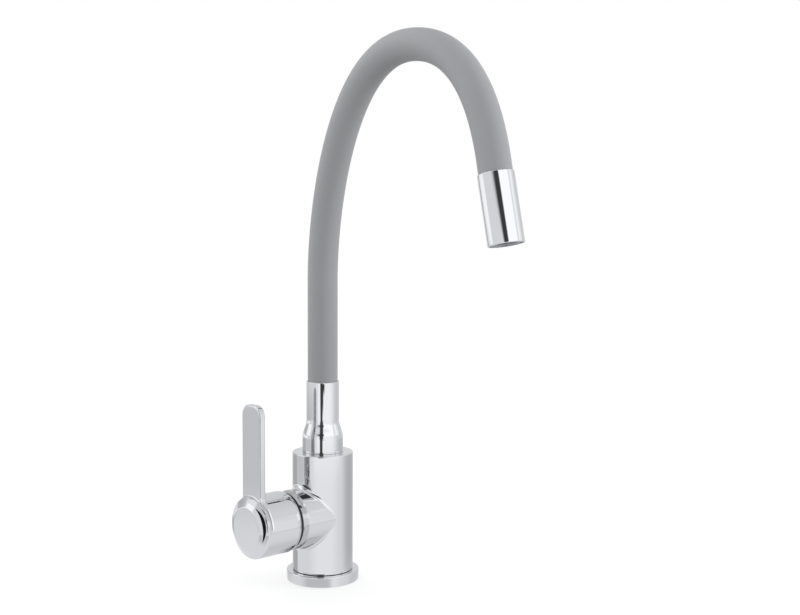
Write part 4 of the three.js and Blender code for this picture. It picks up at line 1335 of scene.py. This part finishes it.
class MakeOutlet(bpy.types.Operator):
    """The outlet sleeve and the aerator's housing, woven screen and insert"""

    bl_idname = "mixer_tap.outlet"
    bl_label = "Outlet and aerator"

    def wires(self, outlet):
        """The woven screen. A wire at distance d from the middle runs sqrt(R^2 - d^2) each way and
        waves over and under the crossing wires: +-r cos(pi x / pitch), up on one and down on the
        next, with a six-sided section."""
        reach = outlet.screen_radius - SCREEN_RIM / 2
        pitch, radius = outlet.wire_pitch, outlet.wire_radius
        middle = (outlet.screen_low + outlet.screen_high) / 2
        count = int(reach / pitch)
        turn = np.linspace(0, TURN, WIRE_SIDES, endpoint=False)
        patches = []
        for number in range(-count, count + 1):
            away = number * pitch
            half = math.sqrt(reach**2 - away**2)
            steps = max(LEAST_WIRE_STEPS, round(2 * half / pitch * WIRE_STEPS_PER_PITCH))
            run = np.linspace(-half, half, steps + 1)
            wave = radius * np.cos(HALF_TURN * run / pitch) * (-1) ** number
            # the first and the last point stand twice, once with no width, to close the ends
            run, wave = (np.pad(part, 1, "edge")[:, None] for part in (run, wave))
            width = np.pad(np.full(steps + 1, radius), 1)[:, None]
            aside, up = away + width * np.cos(turn), middle + width * np.sin(turn)
            patches += [grid(beside(run, aside, up + wave)), grid(beside(aside, run, up - wave))]
        return patches

    def insert(self, outlet):
        """A disc with a ring of round holes: two flat sheets, an outer wall and a wall per hole."""
        ends = outlet.insert_low, outlet.insert_high
        middles = circle((0, 0), outlet.insert_ring, INSERT_HOLES)
        radius = outlet.insert_hole
        holes = [(middle, radius, circle(middle, radius, INSERT_COLUMNS)) for middle in middles]
        rim = circle((0, 0), outlet.screen_radius, PORT_COLUMNS)
        faces = [sheet(rim, holes, lambda x, y, z=z: beside(x, y, z)) for z in ends]
        loops = [rim, *(loop for _, _, loop in holes)]
        return [*faces, *(grid(np.stack([beside(*loop.T, z) for z in ends])) for loop in loops)]

    def execute(self, context):
        tap = context.scene.mixer_tap
        outlet, hose, socket = tap.outlet, tap.hose, tap.socket
        tilt = hose.outlet_tilt
        mouth = Vector((0, -hose.outlet_reach, hose.outlet_height))
        mouth += Vector((0, -math.sin(tilt), -math.cos(tilt))) * outlet.length
        place = Matrix.Translation(mouth) @ Matrix.Rotation(-tilt, 4, "X")
        sleeve = lathe(
            (outlet.aerator_bore, 0, FINE_EDGE),
            (outlet.radius, 0, outlet.edge),
            (outlet.radius, outlet.length, outlet.edge),
            (socket.hose_seat, outlet.length, FINE_EDGE),
            (socket.hose_seat, outlet.hose_stop, 0),
            (socket.ferrule_seat, outlet.hose_stop, 0),
            (socket.ferrule_seat, outlet.ferrule_stop, 0),
            (socket.waterway, outlet.ferrule_stop, 0),
            (socket.waterway, outlet.aerator_depth, 0),
            (outlet.aerator_bore, outlet.aerator_depth, 0),
        )
        housing = lathe(
            (outlet.lip_radius, outlet.housing_low, SOFT_EDGE),
            (outlet.housing_radius, outlet.housing_low, SOFT_EDGE),
            (outlet.housing_radius, outlet.housing_high, FINE_EDGE),
            (outlet.housing_bore, outlet.housing_high, FINE_EDGE),
            (outlet.housing_bore, outlet.lip_high, FINE_EDGE),
            (outlet.lip_radius, outlet.lip_high, SOFT_EDGE),
        )
        rim = lathe(
            (outlet.screen_radius - SCREEN_RIM, outlet.screen_low, FINE_EDGE),
            (outlet.screen_radius, outlet.screen_low, FINE_EDGE),
            (outlet.screen_radius, outlet.screen_high, FINE_EDGE),
            (outlet.screen_radius - SCREEN_RIM, outlet.screen_high, FINE_EDGE),
            columns=PORT_COLUMNS,
        )
        made = (
            ("outlet_tube", [sleeve], "polished_chrome", "outlet_sleeve"),
            ("aerator_shell", [housing], "grey_plastic", "aerator_housing"),
            ("aerator_mesh", [rim, *self.wires(outlet)], "plain_steel", "aerator_screen"),
            ("aerator_core", self.insert(outlet), "white_plastic", "aerator_insert"),
        )
        for name, patches, slot, node in made:
            piece(name, [moved(patch, place) for patch in patches], slot, "spout", node)
        return {"FINISHED"}


# The solids that stay: each gets the finish of its slot
KEPT_NODES = {
    "bare_brass": ("stem", "cartridge_nut", "hose_ferrule_lower", "hose_ferrule_upper"),
    "plain_steel": ("spout_lock_screw", "stem_pin", "handle_grub_screw", "gooseneck_core"),
    "black_rubber": ("port_seal_hot", "port_seal_cold", "port_seal_mixed", "aerator_seal"),
    "white_plastic": ("cartridge_base", "disc_carrier", "spindle_carrier", "water_tube"),
    "blue_plastic": ("cartridge_housing",),
    "grey_plastic": ("nut_cover_ring",),
    "white_ceramic": ("fixed_disc", "moving_disc"),
}


class FinishSolids(bpy.types.Operator):
    """Gives the solids that stay inside the tap their finishes"""

    bl_idname = "mixer_tap.solids"
    bl_label = "Pieces inside"

    def execute(self, context):
        for slot, nodes in KEPT_NODES.items():
            for node in nodes:
                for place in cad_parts[node].material_slots:
                    place.material = finish(slot, context.scene.mixer_tap)
        return {"FINISHED"}


# The studio as polished surfaces show it: soft-edged panels, each laid over those before it. Turns
# run from the camera to its right, heights up from level, in degrees. Each panel: left edge and its
# softness, right edge and its softness, lower edge and its softness, upper edge and its softness,
# brightness.
PANELS = (
    (-38, 50, 50, 42, -36, 18, -5, 3, 1.12),
    (95, 36, 190, 36, -130, 10, 5, 6, 0.79),
    (94, 60, 212, 10, -17, 3, -11, 3, 0.6),
    (-160, 5, -112, 6, -18, 3, -9, 6, 0.55),
    (-116, 6, -66, 48, -14, 3, -9, 2, 0.76),
    (-33, 8, 70, 46, -12, 3, 12, 20, 1.27),
    (-4, 6, 72, 14, 9, 12, 26, 9, 1.46),
    (93, 70, 230, 10, -8, 3, 62, 16, 0.85),
    (80, 8, 104, 34, 5, 8, 24, 8, 1.3),
    (-128, 25, -96, 10, -5, 3, 2, 3, 1.36),
    (-110, 5, -81, 5, 5, 3, 60, 8, 1.4),
    (-160, 5, -113, 26, 0, 6, 32, 20, 0.62),
    (-160, 5, -119, 15, 20, 15, 100, 3, 0.82),
    (60, 12, 92, 8, 48, 3, 58, 5, 1.45),
    (-62, 36, 26, 26, -34, 10, -18.6, 1.6, 0.72),
    (-32, 32, 6, 10, 13, 6, 20, 6, 0.08),
    (-16, 6, -1, 6, -11.8, 0.2, 34, 6, 0.06),
    (-16, 6, 4, 8, -9.7, 0.8, -8, 0.6, 0.06),
    (-16, 6, 13, 6, -8.9, 0.5, -8.2, 0.3, 0.06),
    (-18, 8, 3, 8, -4, 10, 34, 6, 0.06),
    (-19, 12, 6, 10, 14.5, 3, 21.5, 3, 0.06),
    (-42, 14, 27, 10, 48, 3, 59, 6, 0.06),
)
ROOM_LEVEL = 0.97
ROOM_TINT = (0.985, 0.99, 1.0, 1)
WHITE = (1, 1, 1, 1)
TURN_START = math.radians(-150)  # where the turn round the studio starts and ends
FLOOR_STEPS = 12
FLOOR_DROP = 0.1 * MM
LAMP_AIM = Vector((0, -0.08, 0.2))  # the point that the lamps face
# Each lamp: angle round from the camera, angle of height, share of the power
LAMPS = (
    (-130, 35, 0.59),
    (-90, 20, 0.25),
    (90, 20, 1.13),
)
SENSOR = 36  # width in millimetres
CLIP = (0.05, 20)


def camera_turn(look):
    """Where the camera stands round the tap's axis, from -Y towards +X."""
    return math.atan2(look.camera_place[0], -look.camera_place[1])


def panel_share(net, value, low, low_soft, high, high_soft):
    """1 between two soft edges and 0 outside them."""
    rise = net.climb(value, *about(low, low_soft))
    return rise * (1 - net.climb(value, *about(high, high_soft)))


def light_path(net, *kinds):
    """Which kind of ray is being traced: 1 or 0 for each kind named."""
    path = net.add("ShaderNodeLightPath")
    return [Value(net, path.outputs[kind]) for kind in kinds]


class MakeStudio(bpy.types.Operator):
    """The camera, the floor, the lamps and the walls that the chrome reflects"""

    bl_idname = "mixer_tap.studio"
    bl_label = "Studio"

    def camera(self, look):
        data = bpy.data.cameras.new("camera")
        data.lens, data.sensor_width = look.lens, SENSOR
        data.clip_start, data.clip_end = CLIP
        thing = bpy.data.objects.new("camera", data)
        turn = Matrix.Rotation(-look.camera_heading, 4, "Z")
        tilt = Matrix.Rotation(QUARTER - look.camera_pitch, 4, "X")
        roll = Matrix.Rotation(look.camera_roll, 4, "Z")
        thing.matrix_world = Matrix.Translation(look.camera_place) @ turn @ tilt @ roll
        bpy.context.scene.collection.objects.link(thing)
        bpy.context.scene.camera = thing

    def walls(self, look):
        """The world: white to the camera, an even fill to matte surfaces, and the panels to polished
        ones. A panel is laid over the level below it by level + (its own - level) x its share."""
        world = bpy.data.worlds.new("studio_walls")
        world.use_nodes = True
        bpy.context.scene.world = world
        net = Net(world.node_tree)
        x, y, z = net.apart(net.value("ShaderNodeTexCoord", "Generated"))
        start = camera_turn(look) + TURN_START
        part = net.math("FRACT", (net.math("ARCTAN2", x, 0 - y) - start) / TURN)
        turn = net.math("DEGREES", part * TURN + TURN_START)
        height = net.math("DEGREES", net.math("ARCSINE", z))
        level = Value(net, net.add("ShaderNodeValue").outputs[0])
        level.socket.default_value = ROOM_LEVEL
        for *edges, brightness in PANELS:
            inside = panel_share(net, turn, *edges[:4]) * panel_share(net, height, *edges[4:])
            level = level + (brightness - level) * inside
        seen, glossy = light_path(net, "Is Camera Ray", "Is Glossy Ray")
        matte = 1 - net.math("MAXIMUM", seen, glossy)
        inputs = {
            "Color": net.mix(seen, ROOM_TINT, WHITE),
            "Strength": seen + glossy * level + matte * look.wall_fill,
        }
        light = net.value("ShaderNodeBackground", "Background", inputs=inputs)
        net.add("ShaderNodeOutputWorld", inputs={"Surface": light})

    def floor(self, look):
        """A round floor, white to the camera with the object's shadow on it. Polished surfaces see
        the panels below level in its place."""
        radii = even(FLOOR_STEPS) * look.floor_radius
        points, faces = around(beside(radii, -FLOOR_DROP), closed=False)
        mesh = bpy.data.meshes.new("floor")
        mesh.from_pydata(points.tolist(), [], faces.tolist())
        thing = bpy.data.objects.new("floor", mesh)
        thing.visible_glossy = False
        bpy.context.scene.collection.objects.link(thing)
        material = bpy.data.materials.new("studio_floor")
        material.use_nodes = True
        net = Net(material.node_tree)
        paint = (look.floor_shade, look.floor_shade, look.floor_shade, 1)
        matte = net.value("ShaderNodeBsdfDiffuse", "BSDF", inputs={"Color": paint})
        (seen,) = light_path(net, "Is Camera Ray")
        inputs = {"Color": WHITE, "Strength": seen * look.floor_glow}
        glow = net.value("ShaderNodeEmission", "Emission", inputs=inputs)
        both = net.add("ShaderNodeAddShader")
        net.feed(both.inputs[0], matte)
        net.feed(both.inputs[1], glow)
        net.add("ShaderNodeOutputMaterial", inputs={"Surface": Value(net, both.outputs[0])})
        mesh.materials.append(material)

    def lamps(self, look):
        """Large round lamps that matte surfaces see and polished ones don't."""
        for number, (turn, rise, power) in enumerate(LAMPS):
            data = bpy.data.lights.new(f"lamp_{number}", "AREA")
            data.shape, data.size, data.energy = "DISK", look.lamp_size, power * look.lamp_power
            turn, rise = camera_turn(look) + math.radians(turn), math.radians(rise)
            level = Vector((math.sin(turn), -math.cos(turn), 0)) * math.cos(rise)
            way = level + Vector((0, 0, math.sin(rise)))
            thing = bpy.data.objects.new(f"lamp_{number}", data)
            thing.location = LAMP_AIM + way * look.lamp_distance
            thing.rotation_euler = way.to_track_quat("Z", "Y").to_euler()
            thing.visible_glossy = False
            bpy.context.scene.collection.objects.link(thing)

    def execute(self, context):
        look = context.scene.mixer_tap.studio
        self.camera(look)
        self.walls(look)
        self.floor(look)
        self.lamps(look)
        context.scene.view_settings.view_transform = "Standard"
        return {"FINISHED"}


OPERATORS = (
    MakeStudio,
    MakePlate,
    MakeBody,
    MakeHandle,
    MakeSocket,
    MakeHose,
    MakeOutlet,
    FinishSolids,
)


class TapPanel(bpy.types.Panel):
    """The tap's pieces and the sizes they are made to"""

    bl_idname = "VIEW3D_PT_mixer_tap"
    bl_label = "Mixer Tap"
    bl_space_type = "VIEW_3D"
    bl_region_type = "UI"
    bl_category = "Mixer Tap"

    def draw(self, context):
        tap = context.scene.mixer_tap
        for operator in OPERATORS:
            self.layout.operator(operator.bl_idname)
        for group in GROUPS:
            box = self.layout.box()
            box.label(text=group.capitalize())
            sizes = getattr(tap, group)
            for name in sizes.__annotations__:
                box.prop(sizes, name)


CLASSES = (*GROUPS.values(), TapSizes, *OPERATORS, TapPanel)


def register():
    for kind in CLASSES:
        bpy.utils.register_class(kind)
    bpy.types.Scene.mixer_tap = bpy.props.PointerProperty(type=TapSizes)


def unregister():
    del bpy.types.Scene.mixer_tap
    for kind in reversed(CLASSES):
        bpy.utils.unregister_class(kind)


def main():
    register()
    for operator in OPERATORS:
        group, name = operator.bl_idname.split(".")
        getattr(getattr(bpy.ops, group), name)()


if __name__ == "__main__":
    main()
